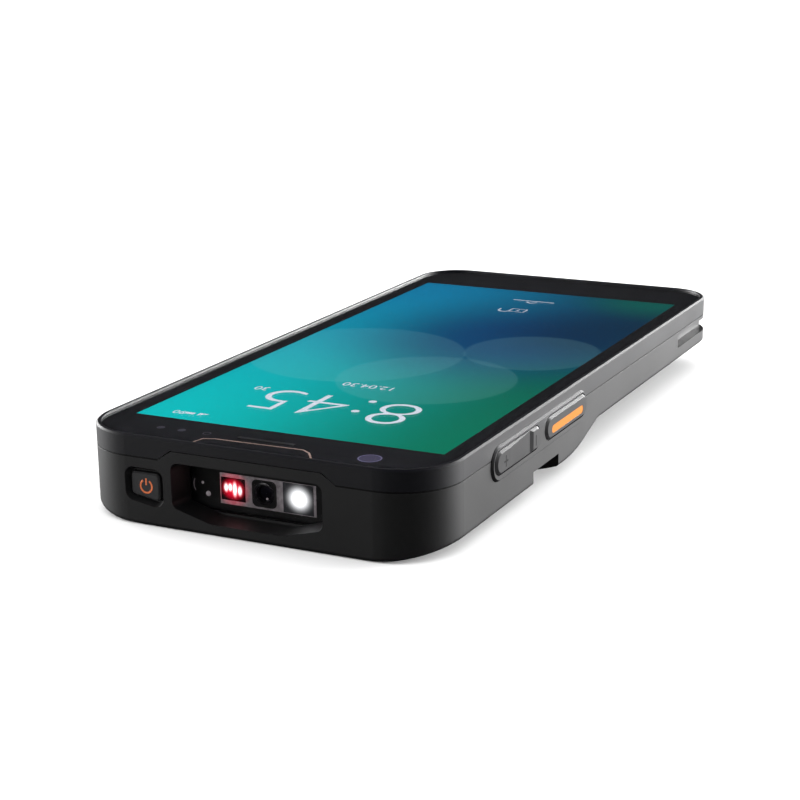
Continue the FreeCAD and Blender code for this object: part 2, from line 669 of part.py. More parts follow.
def key_frames(body, keep_above):
    """Raised frames round the side keys; each moulding keeps its side of the parting line."""
    for side, (start, openings) in SIDES.items():
        ring = belt(body, "YZ_Plane", outer_level(side, HALF + " - wall / 2"),
                    frame_ring(start, TRIGGER_END))
        grow(body, ring, "wall / 2 + key_frame_proud", side)
        face = num(FRAME) * side
        names = edges(body, lambda box: abs(box.XMin - face) < 0.01 and abs(box.XMax - face) < 0.01)
        dress(body, "Chamfer", names, "key_frame_bevel")
        end = "parting_level + key_height" if not keep_above else "parting_level - 2 * key_height"
        band = rectangle(body, "YZ_Plane", outer_level(side, HALF + " - wall"),
                         (SCAN + " + volume_start / 2", SCAN + " + key_height + " + TRIGGER_END),
                         sorted(("parting_level", end), key=num))
        cut(body, band, "2 * wall", side)


def key_openings(body):
    for side, (start, openings) in SIDES.items():
        rings = [key_ring(opening, length, "0") for opening, length in openings]
        cut(body, belt(body, "YZ_Plane", outer_level(side, HALF + " - 2 * wall"), *rings),
            "3 * wall", side)


def bevel_parting(body):
    """A fine bevel along the parting line, which reads as a dark groove."""
    level = num("parting_level")
    names = ["Edge%d" % index for index, edge in enumerate(body.Tip.Shape.Edges, start=1)
             if abs(edge.BoundBox.ZMin - level) < 0.01 and abs(edge.BoundBox.ZMax - level) < 0.01
             and on_outline(edge, 0)]
    dress(body, "Chamfer", names, "parting_bevel")


def tab(body, gap):
    """The tab's outline in the XZ plane, grown by a gap."""
    low = "parting_level - wall"
    corners = [("-(tab_width / 2 + %s)" % gap, low), ("tab_width / 2 + " + gap, low),
               ("tab_width / 2 + " + gap, "parting_level"),
               ("tab_top_width / 2 + " + gap, "parting_level + tab_rise + " + gap),
               ("-(tab_top_width / 2 + %s)" % gap, "parting_level + tab_rise + " + gap),
               ("-(tab_width / 2 + %s)" % gap, "parting_level")]
    return polygon(body, "XZ_Plane", SCAN, corners)


def round_tab(body):
    level = num("parting_level + tab_rise")
    across = num("tab_top_width / 2")
    names = edges(body, lambda box: abs(box.ZMin - level) < 0.01 and box.XLength < 0.01
                  and abs(abs(box.XMin) - across) < 0.01)
    dress(body, "Fillet", names, "tab_round")


def recess(body, level, width, top, low, shrink):
    """The scan recess's boat-shaped outline."""
    corner = "(recess_corner - %s)" % shrink
    side = "%s / 2 - %s" % (width, corner)
    keel = "(recess_keel_round - %s)" % shrink
    middle = "recess_keel / 2"
    rounds = [("-(%s)" % middle, "%s + %s" % (low, keel), keel),
              (middle, "%s + %s" % (low, keel), keel),
              (side, "recess_side_low", corner),
              (side, "%s - %s" % (top, corner), corner),
              ("-(%s)" % side, "%s - %s" % (top, corner), corner),
              ("-(%s)" % side, "recess_side_low", corner)]
    return belt(body, "XZ_Plane", level, rounds)


def scan_recess(body):
    """A recess that narrows towards the scan window, with the window's rebate behind it."""
    mouth = recess(body, SCAN, "recess_width", "recess_top", "recess_bottom", "0")
    throat = recess(body, WINDOW, "recess_inner_width", "recess_top - recess_draft",
                    "recess_bottom + recess_draft", "recess_draft")
    loft = body.newObject("PartDesign::SubtractiveLoft", "recess")
    loft.Profile = mouth
    loft.Sections = [throat]
    loft.Ruled = True
    settle(body, loft, False)
    cut(body, window_outline(body), "window_thick")


def window_outline(body):
    """The scan window's outline, which laps behind the recess at its sides and below."""
    across = span("0", "recess_inner_width + 2 * window_lap")
    up = ("recess_bottom + recess_corner - window_lap", "recess_top - recess_draft")
    return rounded(body, "XZ_Plane", WINDOW, across, up, "recess_corner")


def power_outline(body, level, grown):
    """The power button's outline: a rounded box whose lower edge slants."""
    half = "(power_width / 2 - power_corner)"
    corner = "power_corner + (%s)" % grown
    low = "power_level - power_drop + power_corner"
    top = "power_level + power_rise - power_corner"
    rounds = [("power_spot - " + half, "%s + power_slant" % low, corner),
              ("power_spot + " + half, "%s - power_slant" % low, corner),
              ("power_spot + " + half, top, corner),
              ("power_spot - " + half, top, corner)]
    return belt(body, "XZ_Plane", level, rounds)


POWER_FLANGE = "(-body_length / 2 + power_sink + power_body)"


def power_recess(body):
    dish = body.newObject("PartDesign::SubtractiveLoft", "dish")
    dish.Profile = power_outline(body, SCAN, "key_gap + dish_margin")
    dish.Sections = [power_outline(body, SCAN + " + dish_depth", "key_gap + dish_foot")]
    dish.Ruled = True
    settle(body, dish, False)
    cut(body, power_outline(body, SCAN + " + dish_depth", "key_gap"), "recess_depth")
    cut(body, power_outline(body, POWER_FLANGE, "flange_lap + 2 * key_gap"), "recess_depth")


def tray_outline(body, level, gap):
    """The mid frame's outline, behind the front block of the housing."""
    across = ("-(%s - %s)" % (INNER, gap), "%s - %s" % (INNER, gap))
    along = ("%s + %s" % (TRAY, gap), "%s - frame_margin - %s" % (EYELETS, gap))
    return rounded(body, "XY_Plane", level, across, along, "tray_corner")


def screws(radius):
    """A round about the axis of each case screw."""
    rounds = []
    for side in (-1, 1):
        for line in ("screw_front", "screw_rear"):
            across = "%d * (%s - screw_side)" % (side, HALF)
            rounds.append((across, "%s + %s" % (SCAN, line), radius))
    return rounds


def towers(width):
    """A square about the axis of each case screw."""
    return [box(span(across, width), span(along, width)) for across, along, radius in screws("0")]


def tray(body):
    """The hollow for the electronics: a deep middle, shelves beside it, the mid frame's seat."""
    floor_end = "%s + bump_length - floor_thick / 2" % SCAN
    ramp_line = "thin_rise + floor_thick"
    profile = [(TRAY, "floor_thick"), (floor_end, "floor_thick"),
               (TRAY_END, ramp_line), (TRAY_END, "parting_level"), (TRAY, "parting_level")]
    cut(body, polygon(body, "YZ_Plane", "0", profile), "body_width - 2 * tray_side",
        symmetric=True)
    shelf = []
    for side, end, corner in ((-1, TRAY, "tray_corner"), (1, TRAY, "tray_corner"),
                              (1, TRAY_END, "wall"), (-1, TRAY_END, "wall")):
        inward = "+" if end == TRAY else "-"
        shelf.append(("%d * (%s - %s)" % (side, INNER, corner),
                      "%s %s %s" % (end, inward, corner), corner))
    cut(body, belt(body, "XY_Plane", "shelf_level", shelf), "parting_level - shelf_level")
    cut(body, tray_outline(body, "parting_level - frame_thick", "0"), "frame_thick")


def screw_towers(body):
    """Towers that carry board and mid frame, bored from below for the case screws."""
    grow(body, polygon(body, "XY_Plane", "floor_thick", *towers("tower_width + 2 * tower_step")),
         "board_level - floor_thick")
    grow(body, polygon(body, "XY_Plane", "board_level", *towers("tower_width")),
         "parting_level - frame_thick - board_level")
    cut(body, circles(body, "XY_Plane", "0", *screws("screw_head + 2 * screw_gap")), "head_level")
    cut(body, circles(body, "XY_Plane", "0", *screws("screw_radius + screw_gap")), "parting_level")


def strip_ends(start):
    """Where a switch strip starts and ends along the case."""
    return ("%s + %s - strip_margin" % (SCAN, start), "%s + %s + strip_margin" % (SCAN, TRIGGER_END))


STRIP_FACE = ("(body_width / 2 - wall - seat_gap - flange_thick - nub_length"
              " - trigger_travel - switch_gap - switch_dome)")


def strip_ribs(body):
    """Ribs that stand on the shelves and hold the switch strips at their two ends."""
    ribs = []
    for side, (start, openings) in SIDES.items():
        first, last = strip_ends(start)
        across = mirrored(side, STRIP_FACE + " - strip_thick", INNER)
        ribs.append(box(across, (first + " - rib_thick", first)))
        ribs.append(box(across, (last, last + " + rib_thick")))
    grow(body, polygon(body, "XY_Plane", "shelf_level", *ribs),
         "parting_level - frame_thick - shelf_level")
    middle = "%s + volume_start + volume_length / 2" % SCAN
    post = rectangle(body, "XY_Plane", "shelf_level",
                     (INNER + " - 2 * pin_inset", INNER), span(middle, "4 * pin_radius"))
    grow(body, post, "key_level - key_height / 2 - shelf_level")
    cut(body, circle(body, "XY_Plane", "shelf_level + rib_thick",
                     INNER + " - pin_inset", middle, "pin_radius"), "key_height")


def engine_seat(body):
    along = (ENGINE + " + wall", ENGINE + " + engine_depth - wall")
    grow(body, rectangle(body, "XY_Plane", "floor_thick", span("engine_shift", "engine_width"),
                         along), "engine_level - floor_thick")


def latch_notches(body):
    """A notch in each lower side edge, where a cradle's latch takes hold."""
    along = ("%s + notch_start" % SCAN, "%s + notch_start + notch_length" % SCAN)
    notches = [box(mirrored(side, HALF + " - notch_depth", HALF + " + wall"), along)
               for side in (-1, 1)]
    cut(body, polygon(body, "XY_Plane", "0", *notches), "notch_level")


def strap_eyelets(body):
    """A groove round each foot corner, and a tunnel behind the pillar it leaves."""
    start = EYELETS
    inner = HALF + " - eyelet_side"
    high = "(eyelet_high - eyelet_low)"
    reach = "%s - eyelet_depth" % HALF
    mouth = start + " + eyelet_depth"
    tunnel = [(reach + " + wall", mouth), (reach + " + wall", mouth + " + eyelet_mouth"),
              (reach + " - wall", mouth + " + eyelet_mouth"),
              (reach + " - eyelet_mouth", FOOT), (reach + " - 2 * eyelet_mouth + wall", FOOT),
              (reach + " - eyelet_mouth", mouth)]
    grooves = []
    cores = []
    tunnels = []
    for side in (-1, 1):
        grooves.append(box(mirrored(side, inner, HALF + " + wall"),
                           (start, FOOT + " + wall")))
        cores.append(soft_box(mirrored(side, inner + " - wall", reach),
                              (start + " - wall", FOOT + " - eyelet_depth"), "wall"))
        tunnels.append([("%d * (%s)" % (side, across), along) for across, along in tunnel])
    cut(body, polygon(body, "XY_Plane", "eyelet_low", *grooves), high)
    grow(body, belt(body, "XY_Plane", "eyelet_low", *cores), high)
    cut(body, polygon(body, "XY_Plane", "eyelet_low + eyelet_roof", *tunnels),
        high + " - 2 * eyelet_roof")


def door_outline(body, gap):
    across = ("-(%s + %s)" % (DOOR_HALF, gap), "%s + %s" % (DOOR_HALF, gap))
    along = ("%s - %s" % (DOOR_START, gap), "%s + %s" % (DOOR_END, gap))
    return rounded(body, "XY_Plane", "0", across, along, "door_corner + (%s)" % gap)


def hooks(along, gap="0"):
    """A box over each door hook."""
    return [box(span("%d * hook_half" % side, "hook_width + 2 * (%s)" % gap), along)
            for side in (-1, 1)]


def battery_bay(body):
    """The bay, the seat of its door, the hook pockets and the latch's slot."""
    cut(body, door_outline(body, "door_gap"), "door_level")
    bay = rounded(body, "XY_Plane", "0", ("-" + BAY_HALF, BAY_HALF), (BAY_START, BAY_END), "wall")
    cut(body, bay, "bay_level")
    pockets = hooks((BAY_END + " - wall", DOOR_END + " + hook_reach + 2 * door_gap"),
                    "2 * door_gap")
    cut(body, polygon(body, "XY_Plane", "door_level", *pockets), "hook_room")
    slot = rectangle(body, "XY_Plane", "door_level - latch_thick - latch_gap",
                     ("-(latch_half + latch_gap)", "latch_half + latch_gap"),
                     (DOOR_START + " - latch_travel + latch_start - latch_gap", DOOR_START))
    cut(body, slot, "latch_thick + 2 * latch_gap")
    cut(body, rectangle(body, "XY_Plane", "contact_level", ("-contact_half", "contact_half"),
                        (TRAY_END + " - wall", BAY_START + " + wall")), "contact_height")


def speaker_middle():
    return HALF + " - speaker_side", SCAN + " + speaker_line"


def floor_openings(body):
    """Openings in the floor of the thick part: rear camera, lamp and loudspeaker."""
    line = SCAN + " + lens_line"
    cut(body, circle(body, "XY_Plane", "0", "0", line, "lens_radius"), "lens_sink + lens_thick")
    cut(body, circles(body, "XY_Plane", "0", ("0", line, "lens_radius - lens_lap"),
                      ("flash_spot", line, "flash_radius")), "floor_thick")
    across, along = speaker_middle()
    slots = [box(span(across, "slot_length"),
                 span("%s + %d * slot_pitch" % (along, row), "slot_width"))
             for row in range(-2, 3)]
    cut(body, polygon(body, "XY_Plane", "0", *slots), "floor_thick")


def socket_outline(body, gap):
    first, last = span("0", "socket_width - socket_height")
    return belt(body, "XZ_Plane", FOOT + " - socket_depth",
                stadium(first, last, "socket_level", "socket_height / 2 - (%s)" % gap))


def lower_edges(body):
    """The edges between the walls and the underside, without the mouths in the end faces."""
    below = num("thin_rise + side_rise + edge_round")
    names = []
    for index, edge in enumerate(body.Tip.Shape.Edges, start=1):
        span_box = edge.BoundBox
        scan_lip = near(span_box.YMax, SCAN) and span_box.ZMin > num("recess_bottom / 2")
        foot_lip = near(span_box.YMin, FOOT) and span_box.ZMin > num("socket_level - socket_height")
        if span_box.ZMax < below and on_outline(edge, 0) and not scan_lip and not foot_lip:
            names.append("Edge%d" % index)
    return names


def rear_housing():
    """The lower moulding: bump, slope and thin part with all that is let into it."""
    body = new_body("rear_housing")
    grow(body, belt(body, "XY_Plane", "0", plan("0")), "parting_level")
    bevel_parting(body)
    key_frames(body, False)
    grow(body, tab(body, "0"), "wall")
    round_tab(body)
    scan_recess(body)
    power_recess(body)
    tray(body)
    key_openings(body)
    screw_towers(body)
    strip_ribs(body)
    engine_seat(body)
    strap_eyelets(body)
    battery_bay(body)
    floor_openings(body)
    cut(body, socket_outline(body, "0"), "socket_depth + wall")
    underside(body)
    dress(body, "Fillet", lower_edges(body), "edge_round")
    latch_notches(body)
    return body


def front_bezel():
    """The upper moulding: rim, glass seat and skirt, open for the tab and the side keys."""
    body = new_body("front_bezel")
    grow(body, belt(body, "XY_Plane", "parting_level", plan("0")), "rim_level - parting_level")
    top = num("rim_level")
    names = edges(body, lambda box: abs(box.ZMin - top) < 0.01)
    dress(body, "Chamfer", names, "rim_bevel")
    bevel_parting(body)
    key_frames(body, True)
    cut(body, belt(body, "XY_Plane", LEDGE_TOP, plan("rim_width")), "rim_level - " + LEDGE_TOP)
    cut(body, belt(body, "XY_Plane", "parting_level", plan("rim_width + ledge_width")),
        "rim_level - parting_level")
    cut(body, belt(body, "XY_Plane", "parting_level", plan("wall")),
        LEDGE_BOTTOM + " - parting_level")
    cut(body, tab(body, "tab_gap"), "wall")
    key_openings(body)
    return body


def cover_glass():
    body = new_body("cover_glass")
    grow(body, belt(body, "XY_Plane", GLASS_BOTTOM, plan("rim_width + glass_gap")), "glass_thick")
    cut(body, earpiece_slot(body), "glass_thick")
    return body


def earpiece_slot(body):
    first, last = span("0", "earpiece_length - earpiece_width")
    return belt(body, "XY_Plane", GLASS_BOTTOM,
                stadium(first, last, SIGHT, "earpiece_width / 2"))


def earpiece_mesh():
    body = new_body("earpiece_mesh")
    grow(body, earpiece_slot(body), "glass_thick / 2")
    return body


def glass_seal():
    """The adhesive ring between the glass and its ledge."""
    body = new_body("glass_seal")
    grow(body, belt(body, "XY_Plane", LEDGE_TOP, plan("rim_width + glass_gap")), "seal_thick")
    cut(body, belt(body, "XY_Plane", LEDGE_TOP, plan("rim_width + ledge_width")), "seal_thick")
    return body


def display(label, level, inset, thick):
    body = new_body(label)
    reach = "(%s - screen_side + panel_border - %s)" % (HALF, inset)
    along = ("%s + screen_start - panel_border + %s" % (SCAN, inset),
             "%s - screen_end + panel_border - %s" % (FOOT, inset))
    grow(body, rounded(body, "XY_Plane", level, ("-" + reach, reach), along, "panel_border"),
         thick)
    return body


def mid_frame():
    """The metal plate behind the display, notched beside the side keys."""
    body = new_body("mid_frame")
    level = "parting_level - frame_thick"
    grow(body, tray_outline(body, level, "frame_gap"), "frame_thick")
    for side, (start, openings) in SIDES.items():
        first, last = strip_ends(start)
        across = mirrored(side, STRIP_FACE + " - strip_thick - frame_gap", HALF)
        cut(body, rectangle(body, "XY_Plane", level, across, (first, last)), "frame_thick")
    cut(body, circles(body, "XY_Plane", level, *screws("screw_radius")), "frame_thick")
    return body


def main_board():
    """The circuit board on the towers' shoulders, cut out round the scan engine."""
    body = new_body("main_board")
    front = ENGINE + " + engine_depth"
    far = TRAY_END + " - board_gap"
    half = "(%s - board_side)" % HALF
    left, right = span("engine_shift", "engine_width")
    corners = [("-" + half, TRAY + " + wall"), (left + " - wall", TRAY + " + wall"),
               (left + " - wall", front + " + wall"), (right + " + wall", front + " + wall"),
               (right + " + wall", TRAY + " + wall"), (half, TRAY + " + wall"),
               (half, far), ("-" + half, far)]
    grow(body, polygon(body, "XY_Plane", "board_level", corners), "board_thick")
    cut(body, polygon(body, "XY_Plane", "board_level", *towers("tower_width + 2 * board_play")),
        "board_thick")
    return body


def block(label, level, across, along, height, corner="block_corner"):
    """A plain block with slightly rounded upright corners."""
    body = new_body(label)
    grow(body, rounded(body, "XY_Plane", level, across, along, corner), height)
    return body


def case_screws():
    """The four screws that hold housing, board and mid frame, as one group."""
    pieces = []
    for across, along, radius in screws("screw_radius"):
        body = new_body("case_screw")
        grow(body, circle(body, "XY_Plane", "head_level - head_height", across, along,
                          "screw_head"), "head_height")
        grow(body, circle(body, "XY_Plane", "head_level", across, along, radius),
             "parting_level - head_level")
        pieces.append(body)
    group = doc.addObject("Part::Compound", "case_screws")
    group.Links = pieces
    group.Label = "case_screws"
    doc.recompute()
    return group


def scan_window():
    body = new_body("scan_window")
    grow(body, window_outline(body), "window_thick")
    return body


def optic(body, kind):
    """The outline of an optical piece on the engine's face, in the XZ plane."""
    if kind == "aimer":
        return circle(body, "XZ_Plane", ENGINE, "aimer_spot", "optic_level", "aimer_radius")
    if kind == "imager":
        return rounded(body, "XZ_Plane", ENGINE, span("imager_spot", "imager_width"),
                       span("optic_level", "imager_width"), "imager_corner")
    return rectangle(body, "XZ_Plane", ENGINE, span(kind + "_spot", kind + "_width"),
                     span("optic_level", kind + "_height"))


OPTICS = ("aimer", "red", "imager", "white")


def scan_engine():
    """The engine's block, bored for its optical pieces and rebated for the face plate."""
    body = new_body("scan_engine")
    across = span("engine_shift", "engine_width")
    along = (ENGINE, ENGINE + " + engine_depth")
    grow(body, rectangle(body, "XY_Plane", "engine_level", across, along), "engine_height")
    for kind in OPTICS:
        cut(body, optic(body, kind), "optic_depth")
    cut(body, plate_outline(body), "plate_thick")
    return body


def plate_outline(body):
    return rectangle(body, "XZ_Plane", ENGINE, ("plate_start", "plate_end"),
                     span("optic_level", "engine_height - wall"))


def engine_plate():
    body = new_body("engine_plate")
    grow(body, plate_outline(body), "plate_thick")
    for kind in OPTICS[1:]:
        cut(body, optic(body, kind), "plate_thick")
    return body


def optical_piece(label, kind):
    body = new_body(label)
    grow(body, optic(body, kind), "optic_depth")
    return body


def imager():
    """The imager's holder, bored for its lens."""
    body = optical_piece("imager_holder", "imager")
    bore = circle(body, "XZ_Plane", ENGINE, "imager_spot", "optic_level", "imager_radius")
    cut(body, bore, "imager_sink + imager_thick")
    return body


def imager_lens():
    body = new_body("imager_lens")
    face = circle(body, "XZ_Plane", ENGINE + " + imager_sink", "imager_spot", "optic_level",
                  "imager_radius")
    grow(body, face, "imager_thick")
    return body


def power_button():
    """The power button with its stop flange and the nub that presses the switch."""
    body = new_body("power_button")
    grow(body, power_outline(body, SCAN + " + power_sink", "0"), "power_body + seat_gap")
    front = num(SCAN + " + power_sink")
    names = edges(body, lambda box: abs(box.YMin - front) < 0.01 and abs(box.YMax - front) < 0.01)
    dress(body, "Chamfer", names, "power_bevel")
    grow(body, power_outline(body, POWER_FLANGE + " + seat_gap", "flange_lap + key_gap"),
         "flange_thick")
    grow(body, circle(body, "XZ_Plane", POWER_FLANGE + " + seat_gap", "power_spot", "power_level",
                      "nub_radius"), "flange_thick + nub_length")
    return body


NUB_END = "(-body_length / 2 + power_sink + power_body + seat_gap + flange_thick + nub_length)"


def power_switch():
    """A dome switch on a small strip behind the power button."""
    body = new_body("power_switch")
    strip = rectangle(body, "XZ_Plane", TRAY, span("power_spot", "power_width + 4 * flange_lap"),
                      span("power_level", "power_rise + power_drop + 6 * flange_lap"))
    grow(body, strip, "strip_thick")
    dome = circle(body, "XZ_Plane", NUB_END + " + power_travel + switch_gap", "power_spot",
                  "power_level", "nub_radius")
    grow(body, dome, "%s - %s - power_travel - switch_gap" % (TRAY, NUB_END))
    return body


def key_body(label, side, start, length, inner):
    """A side key: a stadium that fills its opening, bevelled round its face."""
    body = new_body(label)
    ring = belt(body, "YZ_Plane", outer_level(side, inner), key_ring(start, length, "-key_gap"))
    grow(body, ring, "%s + key_proud - (%s)" % (FRAME, inner), side)
    face = num(FRAME + " + key_proud") * side
    names = edges(body, lambda box: abs(box.XMin - face) < 0.01 and abs(box.XMax - face) < 0.01)
    dress(body, "Chamfer", names, "key_bevel")
    return body


def scan_trigger(label, side):
    """A scan trigger with its flange, its nub and the groove for its stripe."""
    inner = INNER + " - seat_gap"
    body = key_body(label, side, "trigger_start", "trigger_length", inner)
    middle = "%s + trigger_start + trigger_length / 2" % SCAN
    flange = belt(body, "YZ_Plane", outer_level(side, inner),
                  key_ring("trigger_start", "trigger_length", "flange_lap"))
    grow(body, flange, "flange_thick", -side)
    grow(body, circle(body, "YZ_Plane", outer_level(side, inner), middle, "key_level",
                      "nub_radius"), "flange_thick + nub_length", -side)
    cut(body, stripe_ring(body, side), "stripe_depth", side)
    return body


def stripe_ring(body, side):
    middle = "%s + trigger_start + trigger_length / 2" % SCAN
    first, last = span(middle, "trigger_length - 2 * stripe_margin - stripe_height")
    return belt(body, "YZ_Plane", outer_level(side, FRAME + " + key_proud - stripe_depth"),
                stadium(first, last, "key_level - stripe_drop", "stripe_height / 2"))


def trigger_stripe(label, side):
    body = new_body(label)
    grow(body, stripe_ring(body, side), "stripe_depth - stripe_sink", side)
    return body


def volume_rocker():
    """The volume key, scooped along its face, which tilts on an upright pin behind it."""
    inner = INNER + " - flange_lap"
    body = key_body("volume_rocker", 1, "volume_start", "volume_length", inner)
    face = FRAME + " + key_proud"
    begin = "%s + volume_start + scoop_start" % SCAN
    deepest = begin + " + scoop_length"
    end = deepest + " + scoop_wall"
    scoop = [(face, begin), (face + " - scoop_depth", deepest), (face, end),
             (face + " + wall", end), (face + " + wall", begin)]
    cut(body, polygon(body, "XY_Plane", "key_level - key_height / 2", scoop), "key_height")
    middle = "%s + volume_start + volume_length / 2" % SCAN
    axis = INNER + " - pin_inset"
    low = "key_level - key_height / 2 + key_gap"
    eye = rectangle(body, "XY_Plane", low, (INNER + " - 2 * pin_inset", INNER),
                    span(middle, "eye_length"))
    grow(body, eye, "key_height - 2 * key_gap")
    cut(body, circle(body, "XY_Plane", "shelf_level", axis, middle, "pin_radius + pin_gap"),
        "2 * key_height")
    for way in ("-", "+"):
        nub = circle(body, "YZ_Plane", inner, "%s %s rocker_reach" % (middle, way), "key_level",
                     "nub_radius")
        grow(body, nub, "flange_thick + nub_length - flange_lap", -1)
    return body


def rocker_pin():
    body = new_body("rocker_pin")
    middle = "%s + volume_start + volume_length / 2" % SCAN
    pin = circle(body, "XY_Plane", "shelf_level + rib_thick", INNER + " - pin_inset", middle,
                 "pin_radius")
    grow(body, pin, "key_level + key_height / 2 - shelf_level - rib_thick")
    return body


def switch_strip(label, side):
    """The strip of dome switches behind the keys of one side."""
    body = new_body(label)
    start, openings = SIDES[side]
    across = mirrored(side, STRIP_FACE + " - strip_thick", STRIP_FACE)
    grow(body, rectangle(body, "XY_Plane", "shelf_level", across, strip_ends(start)),
         "key_level + nub_radius * 2 - shelf_level")
    domes = ["%s + trigger_start + trigger_length / 2" % SCAN]
    if side > 0:
        middle = "%s + volume_start + volume_length / 2" % SCAN
        domes += [middle + " - rocker_reach", middle + " + rocker_reach"]
    for along in domes:
        grow(body, circle(body, "YZ_Plane", outer_level(side, STRIP_FACE), along, "key_level",
                          "nub_radius"), "switch_dome", side)
    return body


def battery_door():
    """The battery door: follows the underside outside, with hooks and the latch's seat."""
    body = new_body("battery_door")
    grow(body, door_outline(body, "0"), "door_level")
    underside(body)
    roots = hooks((DOOR_END + " - hook_root", DOOR_END))
    grow(body, polygon(body, "XY_Plane", "door_level", *roots), "hook_height")
    claws = hooks((DOOR_END + " - hook_root / 2", DOOR_END + " + hook_reach"))
    grow(body, polygon(body, "XY_Plane", "door_level + door_gap", *claws), "hook_height - door_gap")
    seat = rectangle(body, "XY_Plane", "door_level - latch_thick",
                     ("-(latch_half + latch_gap)", "latch_half + latch_gap"),
                     (DOOR_START + " - latch_start", LATCH_END + " + latch_gap"))
    cut(body, seat, "latch_thick")
    first, last = THUMB
    slot = rectangle(body, "XY_Plane", "0", ("-(thumb_half + latch_gap)", "thumb_half + latch_gap"),
                     (first + " - latch_travel - thumb_gap", last + " + thumb_gap"))
    cut(body, slot, "door_level")
    return body


LATCH_END = DOOR_START + " + latch_start + latch_length"
THUMB = (LATCH_END + " - thumb_end - thumb_length", LATCH_END + " - thumb_end")


def door_latch():
    """The sliding latch, drawn back; it slides towards the scan end to lock."""
    body = new_body("door_latch")
    grow(body, rectangle(body, "XY_Plane", "door_level - latch_thick", ("-latch_half", "latch_half"),
                         (DOOR_START + " + latch_start", LATCH_END)), "latch_thick")
    thumb = rectangle(body, "XY_Plane", "thin_rise + thumb_sink", ("-thumb_half", "thumb_half"),
                      THUMB)
    grow(body, thumb, "door_level - thin_rise - thumb_sink - latch_thick / 2")
    return body


def rear_camera_window():
    body = new_body("rear_camera_window")
    grow(body, circle(body, "XY_Plane", "lens_sink", "0", SCAN + " + lens_line", "lens_radius"),
         "lens_thick")
    return body


def rear_camera():
    """The rear camera's module with its barrel in the floor's hole."""
    line = SCAN + " + lens_line"
    body = block("rear_camera", "floor_thick", span("0", "module_width"),
                 span(line, "module_width"), "module_height")
    grow(body, circle(body, "XY_Plane", "lens_sink + lens_thick", "0", line,
                      "lens_radius - lens_lap - seat_gap"), "floor_thick - lens_sink - lens_thick")
    return body


def rear_lamp():
    body = new_body("rear_lamp")
    line = SCAN + " + lens_line"
    grow(body, circle(body, "XY_Plane", "lens_sink", "flash_spot", line, "flash_radius"),
         "floor_thick - lens_sink")
    grow(body, circle(body, "XY_Plane", "floor_thick", "flash_spot", line,
                      "flash_radius + lens_lap"), "lens_thick")
    return body


def usb_socket():
    """The USB socket: a shell with its tongue, open at the foot face."""
    body = new_body("usb_socket")
    grow(body, socket_outline(body, "0"), "socket_depth - socket_sink")
    inside = socket_outline(body, "socket_wall")
    inside.setExpression("AttachmentOffset.Base.z", bound("-(%s - socket_depth + wall)" % FOOT))
    doc.recompute()
    cut(body, inside, "socket_depth")
    tongue = rectangle(body, "XZ_Plane", FOOT + " - socket_depth",
                       span("0", "socket_width - 2 * socket_height / 2"),
                       span("socket_level", "socket_height / 4"))
    grow(body, tongue, "socket_depth - wall")
    return body


def disc(label, level, across, along, radius, height):
    body = new_body(label)
    grow(body, circle(body, "XY_Plane", level, across, along, radius), height)
    return body


# Upper pieces
parts = [rear_housing(), front_bezel(), cover_glass(), glass_seal()]
parts.append(display("display_panel", GLASS_BOTTOM + " - panel_thick", "0", "panel_thick"))
parts.append(display("display_cushion", "parting_level", "cushion_inset",
                     GLASS_BOTTOM + " - panel_thick - parting_level"))
parts += [mid_frame(), main_board(), case_screws()]

# Scan end
parts += [scan_window(), scan_engine(), engine_plate(), imager(), imager_lens()]
parts += [optical_piece("aimer_module", "aimer"), optical_piece("red_lamp", "red")]
parts.append(optical_piece("white_lamp", "white"))
parts.append(block("scan_ribbon", "board_level + board_thick",
                   span("engine_shift", "engine_width / 2"),
                   (ENGINE + " + engine_depth", ENGINE + " + 2 * engine_depth"), "mesh_thick"))
parts += [power_button(), power_switch()]
under_glass = GLASS_BOTTOM + " - parting_level"
parts.append(block("receiver", "parting_level", span("0", "receiver_length"),
                   span(SIGHT, "receiver_width"), under_glass))
parts.append(earpiece_mesh())
parts.append(block("light_sensor", "parting_level", span("sensor_spot", "sensor_width"),
                   span(SIGHT, "sensor_width"), under_glass))
parts.append(disc("front_camera", "parting_level", "camera_spot", SCAN + " + camera_line",
                  "camera_radius", under_glass))

# Side keys
parts += [scan_trigger("trigger_right", 1), scan_trigger("trigger_left", -1)]
parts += [trigger_stripe("stripe_right", 1), trigger_stripe("stripe_left", -1)]
parts += [volume_rocker(), rocker_pin()]
parts += [switch_strip("switch_strip_right", 1), switch_strip("switch_strip_left", -1)]

# Electronics in the thick part
for label, name in (("chip_shield", "chip"), ("card_socket", "card")):
    parts.append(block(label, "board_level + board_thick", span(name + "_spot", name + "_width"),
                       span("%s + %s_line" % (SCAN, name), name + "_length"), name + "_height"))
parts += [rear_camera_window(), rear_camera(), rear_lamp()]
speaker_across, speaker_along = speaker_middle()
parts.append(block("speaker_mesh", "floor_thick", span(speaker_across, "speaker_width"),
                   span(speaker_along, "speaker_length"), "mesh_thick"))
parts.append(block("loudspeaker", "floor_thick + mesh_thick", span(speaker_across, "speaker_width"),
                   span(speaker_along, "speaker_length"), "speaker_height"))
parts.append(disc("vibration_motor", "floor_thick", "motor_side - " + HALF,
                  SCAN + " + motor_line", "motor_radius", "motor_height"))

# Battery and foot end
parts.append(block("battery_pack", "door_level + door_gap",
                   ("pack_gap - " + BAY_HALF, BAY_HALF + " - pack_gap"),
                   (BAY_START + " + pack_gap", BAY_END + " - pack_gap"),
                   "bay_level - door_level - door_gap", "pack_corner"))
parts.append(block("battery_contacts", "contact_level", ("-contact_half", "contact_half"),
                   (TRAY_END + " - board_gap", BAY_START + " + pack_gap"), "contact_height"))
parts += [battery_door(), door_latch(), usb_socket()]

